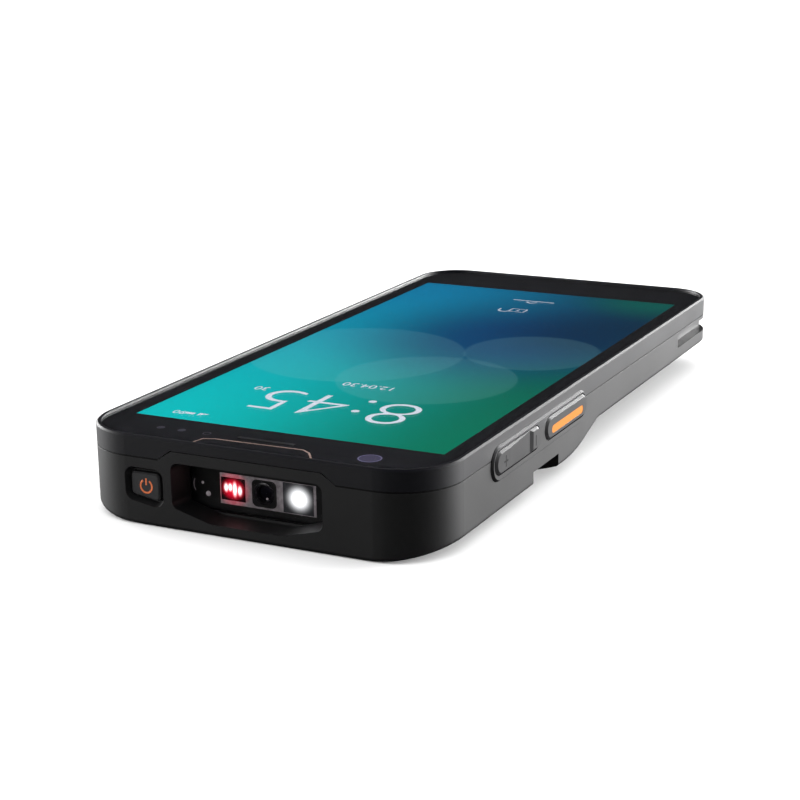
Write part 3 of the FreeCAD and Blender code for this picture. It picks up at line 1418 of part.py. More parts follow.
doc.recompute()
for item in doc.Objects:
    if "Invalid" in item.State or "Error" in item.State:
        raise RuntimeError("%s (%s) failed" % (item.Label, item.Name))
os.makedirs("parts", exist_ok=True)
for part in parts:
    if part.Shape.isNull() or not part.Shape.isValid():
        raise RuntimeError(part.Label + " has no valid shape")
for part in parts:
    part.Shape.exportStep("parts/%s.step" % part.Label)
    print(part.Label, len(part.Shape.Solids), round(part.Shape.Volume, 2))
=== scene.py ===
# A rugged handheld data terminal lying on its back: matt black case, cover glass over a lit
# display, scan window in the near end face, orange striped triggers in the sides.
import math

import bmesh
import bpy
from mathutils import Matrix, Vector


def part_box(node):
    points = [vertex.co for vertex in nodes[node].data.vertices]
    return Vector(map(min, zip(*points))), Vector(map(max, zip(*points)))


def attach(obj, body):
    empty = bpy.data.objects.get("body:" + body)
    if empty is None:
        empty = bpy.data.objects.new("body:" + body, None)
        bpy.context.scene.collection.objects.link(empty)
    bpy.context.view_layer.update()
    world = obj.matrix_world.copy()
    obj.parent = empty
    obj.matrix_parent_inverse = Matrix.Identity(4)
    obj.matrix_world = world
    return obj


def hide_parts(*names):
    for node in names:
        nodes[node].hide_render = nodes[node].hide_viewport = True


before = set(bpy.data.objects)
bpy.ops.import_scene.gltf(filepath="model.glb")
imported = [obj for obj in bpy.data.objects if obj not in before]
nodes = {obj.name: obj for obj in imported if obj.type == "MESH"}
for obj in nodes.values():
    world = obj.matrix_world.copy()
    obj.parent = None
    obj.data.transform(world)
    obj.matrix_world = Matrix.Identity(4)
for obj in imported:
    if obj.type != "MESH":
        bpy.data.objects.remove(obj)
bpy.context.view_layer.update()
MM = 0.001


# Case mouldings: rear housing, battery door and front bezel.
# PC-ABS, injection moulded in a spark-eroded tool, so a fine even grain breaks up every
# highlight. The CAD solids keep their own surface, and the grain is bump alone.
def tone(text, alpha=1.0):
    """An sRGB hex colour as linear values."""
    parts = [int(text[at:at + 2], 16) / 255 for at in (0, 2, 4)]
    linear = [c / 12.92 if c <= 0.04045 else ((c + 0.055) / 1.055) ** 2.4 for c in parts]
    return (*linear, alpha)


def add(tree, kind, settings=None, **links):
    """One shader node with its settings; a link goes to a named or numbered (in0, in1) socket."""
    made = tree.nodes.new("ShaderNode" + kind)
    for name, value in (settings or {}).items():
        setattr(made, name, value)
    for name, value in links.items():
        numbered = name[:2] == "in" and name[2:].isdigit()
        socket = made.inputs[int(name[2:]) if numbered else name.replace("_", " ")]
        if isinstance(value, bpy.types.NodeSocket):
            tree.links.new(value, socket)
        else:
            socket.default_value = value
    return made


def material(name, **surface):
    """A new material with its surface shader; returns the material, its tree and the shader."""
    made = bpy.data.materials.new(name)
    made.use_nodes = True
    tree = made.node_tree
    shader = tree.nodes["Principled BSDF"]
    for key, value in surface.items():
        shader.inputs[key.replace("_", " ")].default_value = value
    return made, tree, shader


def grain(tree, shader, size, height, roughness, spread):
    """Moulded grain: a fine bump with a little change of gloss, from object coordinates."""
    place = add(tree, "TexCoord").outputs["Object"]
    fine = add(tree, "TexNoise", Vector=place, Scale=1 / size, Detail=2.0, Roughness=0.6)
    bump = add(tree, "Bump", Strength=0.35, Distance=height, Height=fine.outputs[0])
    tree.links.new(bump.outputs[0], shader.inputs["Normal"])
    cloud = add(tree, "TexNoise", Vector=place, Scale=1 / (60 * size), Detail=3.0)
    gloss = add(tree, "MapRange", Value=cloud.outputs[0])
    gloss.inputs["To Min"].default_value = roughness - spread
    gloss.inputs["To Max"].default_value = roughness + spread
    tree.links.new(gloss.outputs[0], shader.inputs["Roughness"])


def dress(finish, *names):
    """Give CAD nodes a material."""
    for name in names:
        slots = nodes[name].data.materials
        slots.clear()
        slots.append(finish)


case_plastic, tree, shader = material("grained matt PC-ABS", Base_Color=tone("0e0e0f"), IOR=1.5)
grain(tree, shader, 0.22 * MM, 0.03 * MM, 0.46, 0.04)
dress(case_plastic, "rear_housing", "battery_door")

rim_plastic, tree, shader = material("satin PC-ABS", Base_Color=tone("0a0a0f"), IOR=1.5,
                                     Specular_IOR_Level=0.4)
grain(tree, shader, 0.16 * MM, 0.015 * MM, 0.47, 0.04)
dress(rim_plastic, "front_bezel")


# Parting seal: a black seal that shows as a dark line between the mouldings, widened so that it
# also paints the shade of the groove there.
# It is drawn as one thin slab with the case's outline, of which only the edge can be seen, in
# the groove between the two bevelled edges and just short of flush with the case's side.
def shape(name, mesh, body, slot, finish, *stands_for):
    """Turn a bmesh into a piece that rides on a body."""
    bmesh.ops.recalc_face_normals(mesh, faces=mesh.faces)
    data = bpy.data.meshes.new(name)
    mesh.to_mesh(data)
    mesh.free()
    return piece(name, data, body, slot, finish, *stands_for)


def piece(name, data, body, slot, finish, *stands_for):
    """A finished mesh as a piece of the object."""
    made = bpy.data.objects.new(name, data)
    bpy.context.scene.collection.objects.link(made)
    data.materials.clear()
    data.materials.append(finish)
    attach(made, body)
    if stands_for:
        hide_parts(*stands_for)
    return made


def block(low, high):
    """A bmesh box between two corners."""
    mesh = bmesh.new()
    low, high = Vector(low), Vector(high)
    bmesh.ops.create_cube(mesh, size=1.0)
    bmesh.ops.scale(mesh, vec=high - low, verts=mesh.verts)
    bmesh.ops.translate(mesh, vec=(low + high) / 2, verts=mesh.verts)
    return mesh


def rounded(mesh, radius, segments, end=0):
    """Round a block's upright edges, all of them or those at its -Y (-1) or +Y (1) end."""
    upright = [edge for edge in mesh.edges
               if abs(edge.verts[0].co.z - edge.verts[1].co.z) > 1e-6
               and end * edge.verts[0].co.y >= 0]
    bmesh.ops.bevel(mesh, geom=upright, offset=radius, segments=segments, profile=0.5,
                    affect="EDGES", material=-1)
    return mesh


HALF_WIDTH = 39.2
HALF_LENGTH = 84.0
SCAN_CORNER = 12.5
FOOT_CORNER = 10.5


def case_slab(inset, low, high):
    """A slab with the case's plan outline, drawn in by an inset, in millimetres."""
    across, along = (HALF_WIDTH - inset) * MM, (HALF_LENGTH - inset) * MM
    mesh = block((-across, -along, low * MM), (across, along, high * MM))
    rounded(mesh, (SCAN_CORNER - inset) * MM, 14, -1)
    return rounded(mesh, (FOOT_CORNER - inset) * MM, 14, 1)


def opened(mesh, low, high):
    """Cut a rectangular opening through a slab."""
    for axis, value in ((0, low[0]), (0, high[0]), (1, low[1]), (1, high[1])):
        normal = Vector((1, 0, 0)) if axis == 0 else Vector((0, 1, 0))
        bmesh.ops.bisect_plane(mesh, geom=mesh.verts[:] + mesh.edges[:] + mesh.faces[:],
                               plane_co=normal * value, plane_no=normal)
    inside = [face for face in mesh.faces
              if low[0] < face.calc_center_median().x < high[0]
              and low[1] < face.calc_center_median().y < high[1]]
    bmesh.ops.delete(mesh, geom=inside, context="FACES")
    bmesh.ops.bridge_loops(mesh, edges=[edge for edge in mesh.edges if edge.is_boundary])
    return mesh


PARTING = 13.7
SEAL_DEPTH = 0.02
SEAL_HALF = 0.16
# Painted shade: this black seal is widened so that it darkens the parting groove where its shade
# falls.
seal_and_groove_shade, tree, shader = material("black silicone seal, painted groove shade", Base_Color=tone("050505"), IOR=1.41,
                                        Specular_IOR_Level=0.2)
grain(tree, shader, 0.2 * MM, 0.004 * MM, 0.7, 0.05)
shape("parting_seal_and_shade", case_slab(SEAL_DEPTH, PARTING - SEAL_HALF, PARTING + SEAL_HALF), "case",
      "housing", seal_and_groove_shade)


# Keys: power button, volume rocker and the two triggers.
# Moulded ABS with a smoother skin than the case. Their signs are a pad print that stands 0.01 mm
# proud, drawn as flattened curves; the black volume signs are painted shade, standing in for
# engraved signs.
key_plastic, tree, shader = material("satin ABS key", Base_Color=tone("262627"), IOR=1.5)
grain(tree, shader, 0.14 * MM, 0.012 * MM, 0.38, 0.04)
dress(key_plastic, "power_button", "volume_rocker", "trigger_right", "trigger_left", "door_latch")

stripe_plastic, tree, shader = material("orange moulded ABS", Base_Color=tone("aa6410"), IOR=1.5)
grain(tree, shader, 0.14 * MM, 0.01 * MM, 0.35, 0.04)
dress(stripe_plastic, "stripe_right", "stripe_left")

copper_print, tree, shader = material("copper pad print", Base_Color=tone("c8683c"), Metallic=0.3)
grain(tree, shader, 0.1 * MM, 0.003 * MM, 0.4, 0.05)
# Painted shade: black print takes the place of the shaded grooves of the engraved volume signs.
engraving_shade_print, tree, shader = material("black print, painted engraving shade", Base_Color=tone("020202"), IOR=1.45,
                                     Specular_IOR_Level=0.1)
grain(tree, shader, 0.1 * MM, 0.002 * MM, 0.6, 0.05)

PRINT = 0.01
SIGN_LINE = 0.5


def stroke(name, runs, width, place, finish, body, slot, height=PRINT):
    """Printed lines of one width: each run is its points in millimetres and if it is closed."""
    curve = bpy.data.curves.new(name, "CURVE")
    curve.dimensions = "3D"
    curve.bevel_depth = width / 2 * MM
    curve.bevel_resolution = 2
    curve.use_fill_caps = True
    for points, closed in runs:
        run = curve.splines.new("POLY")
        run.points.add(len(points) - 1)
        run.use_cyclic_u = closed
        for spot, (across, up) in zip(run.points, points):
            spot.co = (across * MM, up * MM, 0, 1)
    holder = bpy.data.objects.new(name, curve)
    data = bpy.data.meshes.new_from_object(holder)
    bpy.data.objects.remove(holder)
    data.transform(place @ Matrix.Diagonal((1, 1, 2 * height / width, 1)))
    data.name = name
    return piece(name, data, body, slot, finish)


def arc(across, up, radius, first, last, steps=24):
    """Points along an arc between two angles in degrees."""
    angles = [math.radians(first + (last - first) * step / steps) for step in range(steps + 1)]
    return [(across + radius * math.cos(angle), up + radius * math.sin(angle))
            for angle in angles]


def circle(radius, steps=48):
    """Points round a whole circle, for a closed run."""
    return arc(0, 0, radius, 0, 360 - 360 / steps, steps - 1)


def on_scan_face(across, along, up):
    """Signs read from the scan end: their right is +X and their top +Z."""
    return Matrix.Translation((across * MM, along * MM, up * MM)) @ Matrix.Rotation(
        math.pi / 2, 4, "X")


def on_right_side(across, along, up):
    """Signs on the +X side: their right is +Y and their top +Z."""
    return Matrix.Translation((across * MM, along * MM, up * MM)) @ Matrix.Rotation(
        math.pi / 2, 4, "Z") @ Matrix.Rotation(math.pi / 2, 4, "X")


BUTTON_FACE = -83.6
KEY_FACE = 40.146
stroke("power_sign", [(arc(0, -0.1, 1.3, 122, 418), False), ([(0, 0.15), (0, 1.5)], False)], 0.38,
       on_scan_face(-22.35, BUTTON_FACE, 7.95), copper_print, "power_button", "stripe")
stroke("plus_sign", [([(-0.95, 0), (0.95, 0)], False), ([(0, -1.15), (0, 1.15)], False)],
       SIGN_LINE, on_right_side(KEY_FACE, -54.1, 12.5), engraving_shade_print, "volume_rocker", "key")
stroke("minus_sign", [([(0, -1.1), (0, 1.1)], False)],
       SIGN_LINE, on_right_side(KEY_FACE, -39.0, 12.4), engraving_shade_print, "volume_rocker", "key")


# Latch and screws on the underside, and the USB inlet in the foot face.
# The latch's thumb piece has three moulded grip bars. The screws are blackened steel, turned
# with a round socket, and the inlet's tongue carries gilt contacts.
THUMB_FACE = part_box("door_latch")[0].z
GRIP_HALF_LENGTH = 1.9 * MM
GRIP_HALF_WIDTH = 0.18
GRIP_HEIGHT = 0.12 * MM
GRIP_ROOT = 0.1 * MM
for index, along in enumerate((8.9, 9.6, 10.3)):
    bar = block((-GRIP_HALF_LENGTH, (along - GRIP_HALF_WIDTH) * MM, THUMB_FACE - GRIP_HEIGHT),
                (GRIP_HALF_LENGTH, (along + GRIP_HALF_WIDTH) * MM, THUMB_FACE + GRIP_ROOT))
    ridge = [edge for edge in bar.edges if all(vert.co.z < THUMB_FACE for vert in edge.verts)]
    bmesh.ops.bevel(bar, geom=ridge, offset=0.1 * MM, segments=3, profile=0.5, affect="EDGES",
                    material=-1)
    shape("latch_grip_%d" % (index + 1), bar, "door_latch", "key", key_plastic)


def turned(profile, steps=48):
    """A lathe-turned shape: (radius, height) pairs in millimetres, spun about the Z axis."""
    mesh = bmesh.new()
    verts = [mesh.verts.new((radius * MM, 0, height * MM)) for radius, height in profile]
    for first, second in zip(verts, verts[1:]):
        mesh.edges.new((first, second))
    bmesh.ops.spin(mesh, geom=mesh.verts[:] + mesh.edges[:], axis=(0, 0, 1), cent=(0, 0, 0),
                   dvec=(0, 0, 0), angle=2 * math.pi, steps=steps, use_merge=True)
    bmesh.ops.remove_doubles(mesh, verts=mesh.verts, dist=1e-7)
    return mesh


def moved(mesh, place):
    """Carry a bmesh to its place."""
    bmesh.ops.transform(mesh, matrix=place, verts=mesh.verts)
    return mesh


black_steel, tree, shader = material("blackened steel", Base_Color=tone("3a3a3c"), Metallic=1.0)
grain(tree, shader, 0.1 * MM, 0.004 * MM, 0.36, 0.05)
screws = bmesh.new()
SCREW_SPOTS = [(side * 26.4, along) for side in (-1, 1) for along in (-71.0, -16.5)]
for across, along in SCREW_SPOTS:
    screw = turned([(0, 6.1), (0.75, 6.1), (1.0, 5.75), (1.0, 5.5), (1.55, 5.5), (1.9, 5.8),
                    (1.9, 7.0), (1.0, 7.0), (1.0, 13.65), (0, 13.65)], 32)
    moved(screw, Matrix.Translation((across * MM, along * MM, 0)))
    data = bpy.data.meshes.new("screw")
    screw.to_mesh(data)
    screw.free()
    screws.from_mesh(data)
shape("case_screws_turned", screws, "case", "screw", black_steel, "case_screws")

gilt, tree, shader = material("gold plated bronze", Base_Color=tone("d9a441"), Metallic=1.0)
grain(tree, shader, 0.1 * MM, 0.002 * MM, 0.25, 0.05)
CONTACTS = 8
CONTACT_PITCH = 0.62
CONTACT_HALF = 0.15
for index in range(CONTACTS):
    across = (index - (CONTACTS - 1) / 2) * CONTACT_PITCH
    shape("inlet_contact_%d" % (index + 1),
          block(((across - CONTACT_HALF) * MM, 77.6 * MM, 9.58 * MM),
                ((across + CONTACT_HALF) * MM, 81.8 * MM, 9.64 * MM)), "case", "contacts", gilt)


# Plain inner pieces, seen only with the battery door open or through an opening.
# Stamped steel, lacquered glass-fibre board and black nylon, each with its own fine texture.
steel, tree, shader = material("stamped steel", Base_Color=tone("a9a9ab"), Metallic=1.0)
grain(tree, shader, 0.1 * MM, 0.004 * MM, 0.35, 0.05)
dress(steel, "mid_frame", "chip_shield", "card_socket", "usb_socket", "vibration_motor",
      "rocker_pin", "switch_strip_right", "switch_strip_left", "power_switch")

board_lacquer, tree, shader = material("solder mask", Base_Color=tone("0f3d2c"), IOR=1.5)
grain(tree, shader, 0.4 * MM, 0.005 * MM, 0.3, 0.05)
dress(board_lacquer, "main_board")

inner_black, tree, shader = material("black moulded nylon", Base_Color=tone("0b0b0c"), IOR=1.5,
                                     Specular_IOR_Level=0.35)
grain(tree, shader, 0.12 * MM, 0.01 * MM, 0.55, 0.05)
dress(inner_black, "scan_engine", "aimer_module", "imager_holder", "receiver", "light_sensor",
      "rear_camera", "loudspeaker", "battery_contacts", "display_cushion", "front_camera",
      "scan_ribbon")

pack_film, tree, shader = material("black shrink film", Base_Color=tone("101012"), IOR=1.5)
grain(tree, shader, 1.2 * MM, 0.02 * MM, 0.3, 0.06)
dress(pack_film, "battery_pack")

# Woven acoustic mesh: warp and weft as two crossed waves.
acoustic_mesh, tree, shader = material("woven acoustic mesh", Base_Color=tone("0d0d0e"),
                                       Roughness=0.7, Specular_IOR_Level=0.3)
place = add(tree, "TexCoord").outputs["Object"]
WEAVE = 0.75 * MM
warp = add(tree, "TexWave", {"bands_direction": "X"}, Vector=place, Scale=1 / WEAVE)
weft = add(tree, "TexWave", {"bands_direction": "Y"}, Vector=place, Scale=1 / WEAVE)
cloth = add(tree, "Math", {"operation": "MULTIPLY"}, in0=warp.outputs[1], in1=weft.outputs[1])
bump = add(tree, "Bump", Strength=0.6, Distance=0.04 * MM, Height=cloth.outputs[0])
tree.links.new(bump.outputs[0], shader.inputs["Normal"])
dress(acoustic_mesh, "speaker_mesh")


# Scan engine behind its window: grey face plate, red and white lamps, aimer and imager.
# The lamps are lit, so their lenses glow, the red one in upright bars and the white one from a
# point. The plate round them has their light painted on as glow, with a faint painted glow all
# over. Places are across and up on the face.
FACE = -78.1
RED = (-6.2, 7.8)
WHITE = (8.2, 7.8)
IMAGER = (0.65, 7.75)
AIMER = (-12.85, 7.75)


def glow(tree, centre, radii, inner, outer):
    """How far a point is inside an ellipse on the engine's face: 1 within, 0 beyond outer."""
    place = add(tree, "TexCoord").outputs["Object"]
    away = add(tree, "VectorMath", {"operation": "SUBTRACT"}, in0=place,
               in1=(centre[0] * MM, 0, centre[1] * MM))
    scaled = add(tree, "VectorMath", {"operation": "MULTIPLY"}, in0=away.outputs[0],
                 in1=(1 / (radii[0] * MM), 0, 1 / (radii[1] * MM)))
    length = add(tree, "VectorMath", {"operation": "LENGTH"}, in0=scaled.outputs[0])
    return add(tree, "MapRange", {"interpolation_type": "SMOOTHSTEP"},
               Value=length.outputs["Value"], From_Min=inner, From_Max=outer, To_Min=1.0,
               To_Max=0.0).outputs[0]


def most(tree, first, second):
    """The larger of two values."""
    return add(tree, "Math", {"operation": "MAXIMUM"}, in0=first, in1=second).outputs[0]


plate_plastic, tree, shader = material("grey moulded nylon, painted lamp glow", IOR=1.5, Roughness=0.5)
place = add(tree, "TexCoord").outputs["Object"]
cloud = add(tree, "TexNoise", Vector=place, Scale=1 / (0.9 * MM), Detail=4.0)
tint = add(tree, "Mix", {"data_type": "RGBA"}, in0=cloud.outputs[0])
tint.inputs[6].default_value = tone("4a4448")
tint.inputs[7].default_value = tone("a49ca0")
tree.links.new(tint.outputs[2], shader.inputs["Base Color"])
# Painted light: the plate glows where the lamps would light it, pink near the red lamp, and
# faintly all over.
painted_red_glow_mask = glow(tree, RED, (1, 1), 2.4, 4.6)
painted_white_glow_mask = glow(tree, WHITE, (1, 1), 2.0, 5.4)
painted_glow_colour = add(tree, "Mix", {"data_type": "RGBA"}, in0=painted_red_glow_mask)
tree.links.new(tint.outputs[2], painted_glow_colour.inputs[6])
painted_glow_colour.inputs[7].default_value = tone("ff3a5c")
tree.links.new(painted_glow_colour.outputs[2], shader.inputs["Emission Color"])
reach = add(tree, "Math", {"operation": "MULTIPLY_ADD"}, in0=most(tree, painted_red_glow_mask, painted_white_glow_mask),
            in1=0.35, in2=0.03)
tree.links.new(reach.outputs[0], shader.inputs["Emission Strength"])
dress(plate_plastic, "engine_plate")

red_lens, tree, shader = material("red acrylic, lit", Base_Color=tone("2a1014"), IOR=1.49,
                                  Roughness=0.12)
halo = glow(tree, RED, (2.7, 2.3), 0.45, 1.1)
bars = None
for across, up, reach in ((-1.6, 0.2, 0.8), (-0.65, 0.3, 0.7), (0.35, 0, 1.3), (1.5, -0.2, 0.9)):
    bar = glow(tree, (RED[0] + across, RED[1] + up), (0.44, reach), 0.3, 1.6)
    bars = bar if bars is None else most(tree, bars, bar)
hue = add(tree, "Mix", {"data_type": "RGBA"}, in0=bars)
hue.inputs[6].default_value = tone("ff1238")
hue.inputs[7].default_value = tone("fff0f4")
tree.links.new(hue.outputs[2], shader.inputs["Emission Color"])
power = add(tree, "Math", {"operation": "MULTIPLY_ADD"}, in0=bars, in1=2.2, in2=0.9)
power = add(tree, "Math", {"operation": "MULTIPLY"}, in0=power.outputs[0], in1=halo)
tree.links.new(power.outputs[0], shader.inputs["Emission Strength"])
dress(red_lens, "red_lamp")

white_lens, tree, shader = material("milky acrylic, lit", Base_Color=tone("3c3c40"), IOR=1.49,
                                    Roughness=0.2)
core = glow(tree, WHITE, (2.9, 2.8), 0.0, 1.38)
shader.inputs["Emission Color"].default_value = tone("fbfcff")
power = add(tree, "Math", {"operation": "POWER"}, in0=core, in1=2.2)
power = add(tree, "Math", {"operation": "MULTIPLY"}, in0=power.outputs[0], in1=3.6)
tree.links.new(power.outputs[0], shader.inputs["Emission Strength"])
dress(white_lens, "white_lamp")

lamp_lens, tree, shader = material("milky acrylic", Base_Color=tone("d9d7cf"), IOR=1.49,
                                   Roughness=0.25)
dress(lamp_lens, "rear_lamp")

coated_lens, tree, shader = material("coated glass lens", Base_Color=tone("0a0a12"), IOR=1.52,
                                     Roughness=0.04)
dress(coated_lens, "imager_lens", "rear_camera_window")

# Painted glints: light grey beads and an arc on the aimer and imager lenses stand for their
# reflections and glow a little.
painted_glint_glass, tree, shader = material("lens bead, painted glint", Base_Color=tone("8d868a"), IOR=1.5,
                                    Roughness=0.08, Emission_Color=tone("b0a8ac"),
                                    Emission_Strength=0.16)
black_gloss, tree, shader = material("black lens barrel", Base_Color=tone("1a171b"), IOR=1.5,
                                     Roughness=0.18)


def dome(radius, steps=8):
    """Profile of a shallow lens dome with a flat back."""
    turns = [math.pi / 2 * step / steps for step in range(steps + 1)]
    return [(radius * math.cos(turn), 0.7 * radius * math.sin(turn)) for turn in turns] + [
        (0, 0), (radius, 0)]


for name, across, up, radius in (("aimer_bead_upper", -13.0, 8.3, 0.3),
                                 ("aimer_bead_lower", -11.8, 6.2, 0.55),
                                 ("imager_glint", 1.3, 6.9, 0.25)):
    shape(name, moved(turned(dome(radius), 24), on_scan_face(across, FACE - 0.02, up)), "case",
          "lens", painted_glint_glass)
stroke("aimer_arc_glint", [(arc(0, 0, 2.2, 150, 215), False)], 0.14,
       on_scan_face(AIMER[0], FACE, AIMER[1]), painted_glint_glass, "case", "lens", 0.03)
ring = [(1.62, 0.0), (1.62, 0.06), (1.95, 0.06), (2.2, 0.0), (1.62, 0.0)]
shape("imager_ring", moved(turned(ring), on_scan_face(IMAGER[0], FACE, IMAGER[1])), "case",
      "black_part", black_gloss)

window_acrylic, tree, shader = material("clear acrylic window", Base_Color=tone("08080a"),
                                        IOR=1.49, Roughness=0.03, Alpha=0.12)
dress(window_acrylic, "scan_window")


# Display: a laminated panel with its lit face just below the cover glass.
# The picture is drawn by the material: a slow wash from cyan to navy with large soft discs in it.
LIT_LOW = Vector((-34.1, -69.0)) * MM
LIT_HIGH = Vector((34.1, 67.4)) * MM
GLASS_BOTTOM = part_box("cover_glass")[0].z
SCREEN_TOP = GLASS_BOTTOM - 0.06 * MM

low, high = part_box("display_panel")
high.z = SCREEN_TOP
panel = rounded(block(low, high), 1.0 * MM, 4)
shape("display", panel, "case", "display", inner_black, "display_panel")

lit_picture, tree, shader = material("lit display", Base_Color=tone("000000"), Roughness=0.6,
                                     Specular_IOR_Level=0.0)
place = add(tree, "SeparateXYZ", Vector=add(tree, "TexCoord").outputs["Object"])
across = add(tree, "MapRange", {"interpolation_type": "SMOOTHSTEP"}, Value=place.outputs["X"],
             From_Min=LIT_LOW.x, From_Max=LIT_HIGH.x)
along = add(tree, "MapRange", {"interpolation_type": "SMOOTHSTEP"}, Value=place.outputs["Y"],
            From_Min=LIT_LOW.y, From_Max=LIT_HIGH.y)


def blend_colours(factor, first, second):
    """A mix of two colours, each a hex text or another mix."""
    mixed = add(tree, "Mix", {"data_type": "RGBA"}, in0=factor)
    for at, value in ((6, first), (7, second)):
        if isinstance(value, str):
            mixed.inputs[at].default_value = tone(value)
        else:
            tree.links.new(value, mixed.inputs[at])
    return mixed.outputs[2]


def spot(x, y, inner, outer, strength):
    """How far the picture is inside a disc: strength within inner, 0 beyond outer."""
    away = add(tree, "VectorMath", {"operation": "DISTANCE"},
               in0=add(tree, "TexCoord").outputs["Object"], in1=(x * MM, y * MM, SCREEN_TOP))
    return add(tree, "MapRange", {"interpolation_type": "SMOOTHSTEP"}, Value=away.outputs["Value"],
               From_Min=inner * MM, From_Max=outer * MM, To_Min=strength, To_Max=0.0).outputs[0]


near_end = blend_colours(across.outputs[0], "04c8c8", "06785c")
far_end = blend_colours(across.outputs[0], "0a86b4", "0a3446")
wash = blend_colours(along.outputs[0], near_end, far_end)
wash = blend_colours(spot(10, 18, 8, 50, 0.9), wash, "083e72")
wash = blend_colours(spot(30, 30, 6, 34, 0.75), wash, "082c48")
wash = blend_colours(spot(30, 70, 4, 26, 0.75), wash, "0a6a5c")
for x, y, size in ((-16, -8, 24), (8, -22, 19), (20, 8, 15)):
    wash = blend_colours(spot(x, y, size, size + 0.8, 0.065), wash, "9fe4e6")
tree.links.new(wash, shader.inputs["Emission Color"])
shader.inputs["Emission Strength"].default_value = 1.32
lit = block((*LIT_LOW, SCREEN_TOP), (*LIT_HIGH, SCREEN_TOP + 0.02 * MM))
shape("lit_face", lit, "case", "display", lit_picture)


# Signs on the display: clock, date, status signs and lock, as the panel's own lit dots show them.
# They read from the foot end, so their tops point towards the scan end.
white_light, tree, shader = material("lit white dots", Base_Color=tone("000000"),
                                     Specular_IOR_Level=0.0, Emission_Color=tone("eef4ff"),
                                     Emission_Strength=1.2)
SIGN_LEVEL = SCREEN_TOP + 0.022 * MM


def sign_place(x, y):
    """Turn a flat sign round and lay it on the display."""
    return Matrix.Translation((x * MM, y * MM, SIGN_LEVEL)) @ Matrix.Rotation(math.pi, 4, "Z")


def lettering(name, text, size, x, y, thinner=0.0):
    """Numerals as a flat mesh, centred on a point of the display."""
    font = bpy.data.curves.new(name, "FONT")
    font.body = text
    font.size = size * MM
    font.offset = -thinner * MM
    font.extrude = 0.004 * MM
    font.align_x = "CENTER"
    font.align_y = "CENTER"
    font.resolution_u = 6
    holder = bpy.data.objects.new(name, font)
    data = bpy.data.meshes.new_from_object(holder)
    bpy.data.objects.remove(holder)
    data.transform(sign_place(x, y))
    data.name = name
    return piece(name, data, "case", "display", white_light)


lettering("clock_numerals", "8:45", 22.0, 0.0, -47.7, 0.45)
lettering("seconds_numerals", "30", 3.4, -20.5, -42.2)
lettering("date_numerals", "12.04.30", 3.6, -0.5, -32.0)
lettering("charge_numerals", "90", 2.9, -26.6, -64.5)
LIT_LINE = 0.006


def lit_sign(name, runs, width, x, y):
    """A sign of lit lines on the display."""
    return stroke(name, runs, width, sign_place(x, y), white_light, "case", "display", LIT_LINE)


lit_sign("battery_sign", [([(-0.9, 0), (0.7, 0)], False), ([(0.7, 0), (1.3, 0)], False)], 1.1,
         -24.0, -64.5)
lit_sign("signal_sign", [([(-0.9, -0.5), (0.8, -0.5), (0.8, 0.6)], True),
                         ([(0.1, -0.2), (0.5, 0.1)], False)], 0.7, -21.2, -64.4)
lit_sign("lock_sign", [([(-2.7, -1.6), (1.2, -1.6), (1.2, 1.3), (-2.7, 1.3)], True),
                       ([(-0.9, -0.5), (-0.6, 0.2)], False),
                       (arc(2.6, 0.6, 1.4, 180, 0) + [(4.0, -0.8)], False)], 0.42, -0.2, 46.0)
lit_sign("slide_sign", [([(-5.5, 0), (5.5, 0)], False),
                        ([(-1.4, 1.2), (0, 2.4), (1.4, 1.2)], False)], 0.5, 0.2, 57.3)


# Cover glass with its black print, the windows left in it, and the seal round its edge.
# Hardened aluminosilicate, ground flat and polished; the border is screen-printed below it.
# The glass's index is set low, so that its reflections leave the border black.
clear_glass, tree, shader = material("hardened glass", Base_Color=tone("fafcff"), IOR=1.35,
                                     Roughness=0.015, Transmission_Weight=1.0)
dress(clear_glass, "cover_glass")

border_ink, tree, shader = material("black screen print", Base_Color=tone("17171b"), IOR=1.45,
                                    Specular_IOR_Level=0.1)
grain(tree, shader, 0.1 * MM, 0.001 * MM, 0.6, 0.04)
dress(border_ink, "glass_seal")
INK_TOP = GLASS_BOTTOM / MM + 0.012
BORDER_INSET = 1.2
mask = opened(case_slab(BORDER_INSET, INK_TOP - PRINT, INK_TOP), LIT_LOW, LIT_HIGH)
shape("border_print", mask, "case", "cover_glass", border_ink)

tinted_print, tree, shader = material("violet tinted print", Base_Color=tone("33303e"), IOR=1.45)
grain(tree, shader, 0.1 * MM, 0.001 * MM, 0.4, 0.04)
lens_violet, tree, shader = material("coated camera window", Base_Color=tone("474359"), IOR=1.5,
                                     Roughness=0.2)


def below_glass(x, y):
    """A place on top of the print."""
    return Matrix.Translation((x * MM, y * MM, INK_TOP * MM))


def disc(name, x, y, radius, finish, slot):
    """A round window in the print."""
    shape(name, moved(turned([(0, 0), (radius, 0), (radius, 0.006), (0, 0.006)], 40),
                      below_glass(x, y)), "case", slot, finish)


CAMERA = (22.6, -76.7)
disc("camera_window", *CAMERA, 2.33, lens_violet, "lens")
rim_violet, tree, shader = material("coated camera window rim", Base_Color=tone("6a6584"),
                                    IOR=1.5, Roughness=0.2)
for name, radius, width, finish in (("camera_rim", 2.15, 0.36, rim_violet),
                                    ("camera_ring", 1.15, 0.16, tinted_print)):
    stroke(name, [(circle(radius), True)], width, below_glass(*CAMERA), finish, "case", "lens",
           0.009)
disc("sensor_window_outer", -23.9, -75.4, 0.85, tinted_print, "lens")
disc("sensor_window_inner", -19.1, -75.4, 0.85, tinted_print, "lens")
stroke("sensor_ring", [(circle(0.75), True)], 0.22, below_glass(-13.4, -75.3), tinted_print,
       "case", "lens", 0.006)

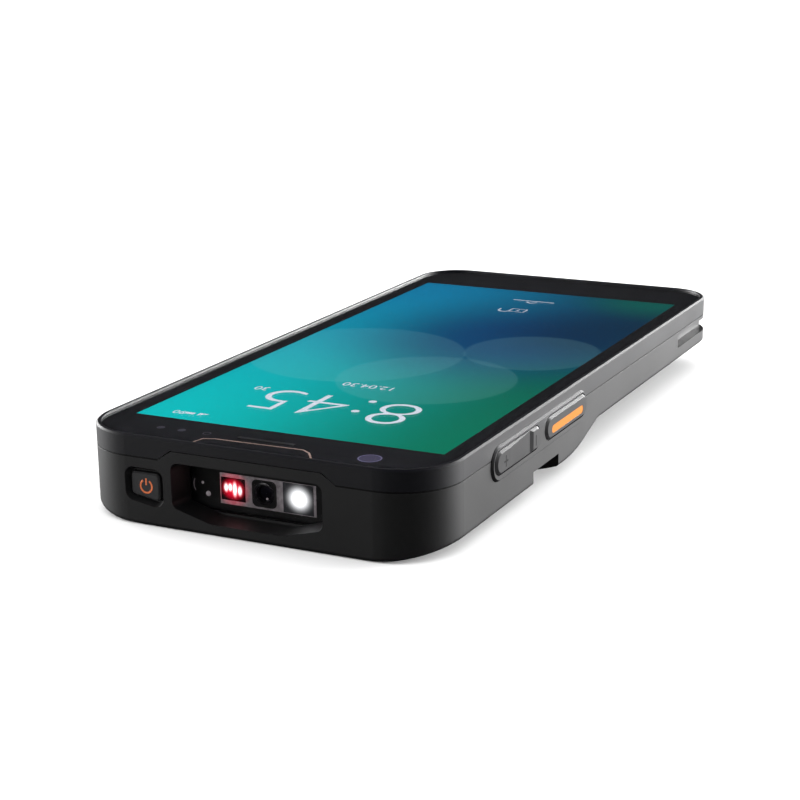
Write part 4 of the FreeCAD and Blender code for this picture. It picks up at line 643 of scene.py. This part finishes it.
# Earpiece grille: a dark woven mesh pressed into the slot, nearly flush with the glass.
grille = block((-6.28 * MM, -76.08 * MM, GLASS_BOTTOM), (6.28 * MM, -75.12 * MM, 17.45 * MM))
shape("earpiece_grille", rounded(grille, 0.47 * MM, 6), "case", "mesh", acoustic_mesh,
      "earpiece_mesh")

copper_line, tree, shader = material("copper foil print", Base_Color=tone("c4a598"), IOR=1.45,
                                     Roughness=0.35, Metallic=0.4)
stroke("trim_line", [([(-13.1, -82.1), (-12.3, -78.5), (-10.1, -77.7), (8.8, -77.1),
                       (10.8, -78.4), (13.3, -82.0)], False)], 0.38, below_glass(0, 0),
       copper_line, "case", "cover_glass", 0.006)


# Floor, light and camera.
# A large white sheet under a broad overhead light, both kept out of reflections, a long soft box
# behind on the right that brightens the right side, one on the left for the near left corner and
# a weak one in front.
bpy.ops.mesh.primitive_plane_add(size=12.0)
floor = bpy.context.object
floor.name = "floor"
floor_white, tree, shader = material("white paper sheet", Base_Color=tone("f6f6f6"), Roughness=0.9,
                                     Specular_IOR_Level=0.0)
floor.data.materials.append(floor_white)
floor.visible_glossy = False

AIM = Vector((0.0, 0.0, 0.01))


def soft_box(name, power, size, place):
    """A rectangular light that faces the object."""
    light = bpy.data.lights.new(name, "AREA")
    light.shape = "RECTANGLE"
    light.size, light.size_y = size
    light.energy = power
    lamp = bpy.data.objects.new(name, light)
    bpy.context.scene.collection.objects.link(lamp)
    lamp.location = place
    lamp.rotation_euler = (AIM - Vector(place)).to_track_quat("-Z", "Y").to_euler()


overhead = bpy.data.lights.new("overhead", "SUN")
overhead.energy = 3.6
overhead.angle = math.radians(120)
lamp = bpy.data.objects.new("overhead", overhead)
lamp.visible_glossy = False
bpy.context.scene.collection.objects.link(lamp)

soft_box("right", 116.0, (1.7, 0.42), (1.0, 1.27, 0.2))
soft_box("left", 26.0, (0.75, 0.25), (-1.0, 0.02, 0.12))
soft_box("front", 2.0, (0.6, 0.3), (-0.5, -0.8, 0.2))

bpy.context.scene.view_settings.view_transform = "Standard"

world = bpy.data.worlds.new("studio")
world.use_nodes = True
world.node_tree.nodes["Background"].inputs["Color"].default_value = tone("ffffff")
world.node_tree.nodes["Background"].inputs["Strength"].default_value = 0.02
bpy.context.scene.world = world

camera = bpy.data.cameras.new("camera")
camera.lens = 81.2
camera.sensor_width = 36.0
eye = bpy.data.objects.new("camera", camera)
bpy.context.scene.collection.objects.link(eye)
right = Vector((0.89636, 0.44314, -0.01279))
up = Vector((-0.10865, 0.24756, 0.96276))
back = right.cross(up)
eye.matrix_world = Matrix.Translation((0.16859, -0.35666, 0.11685)) @ Matrix(
    (right, up, back)).transposed().to_4x4()
bpy.context.scene.camera = eye
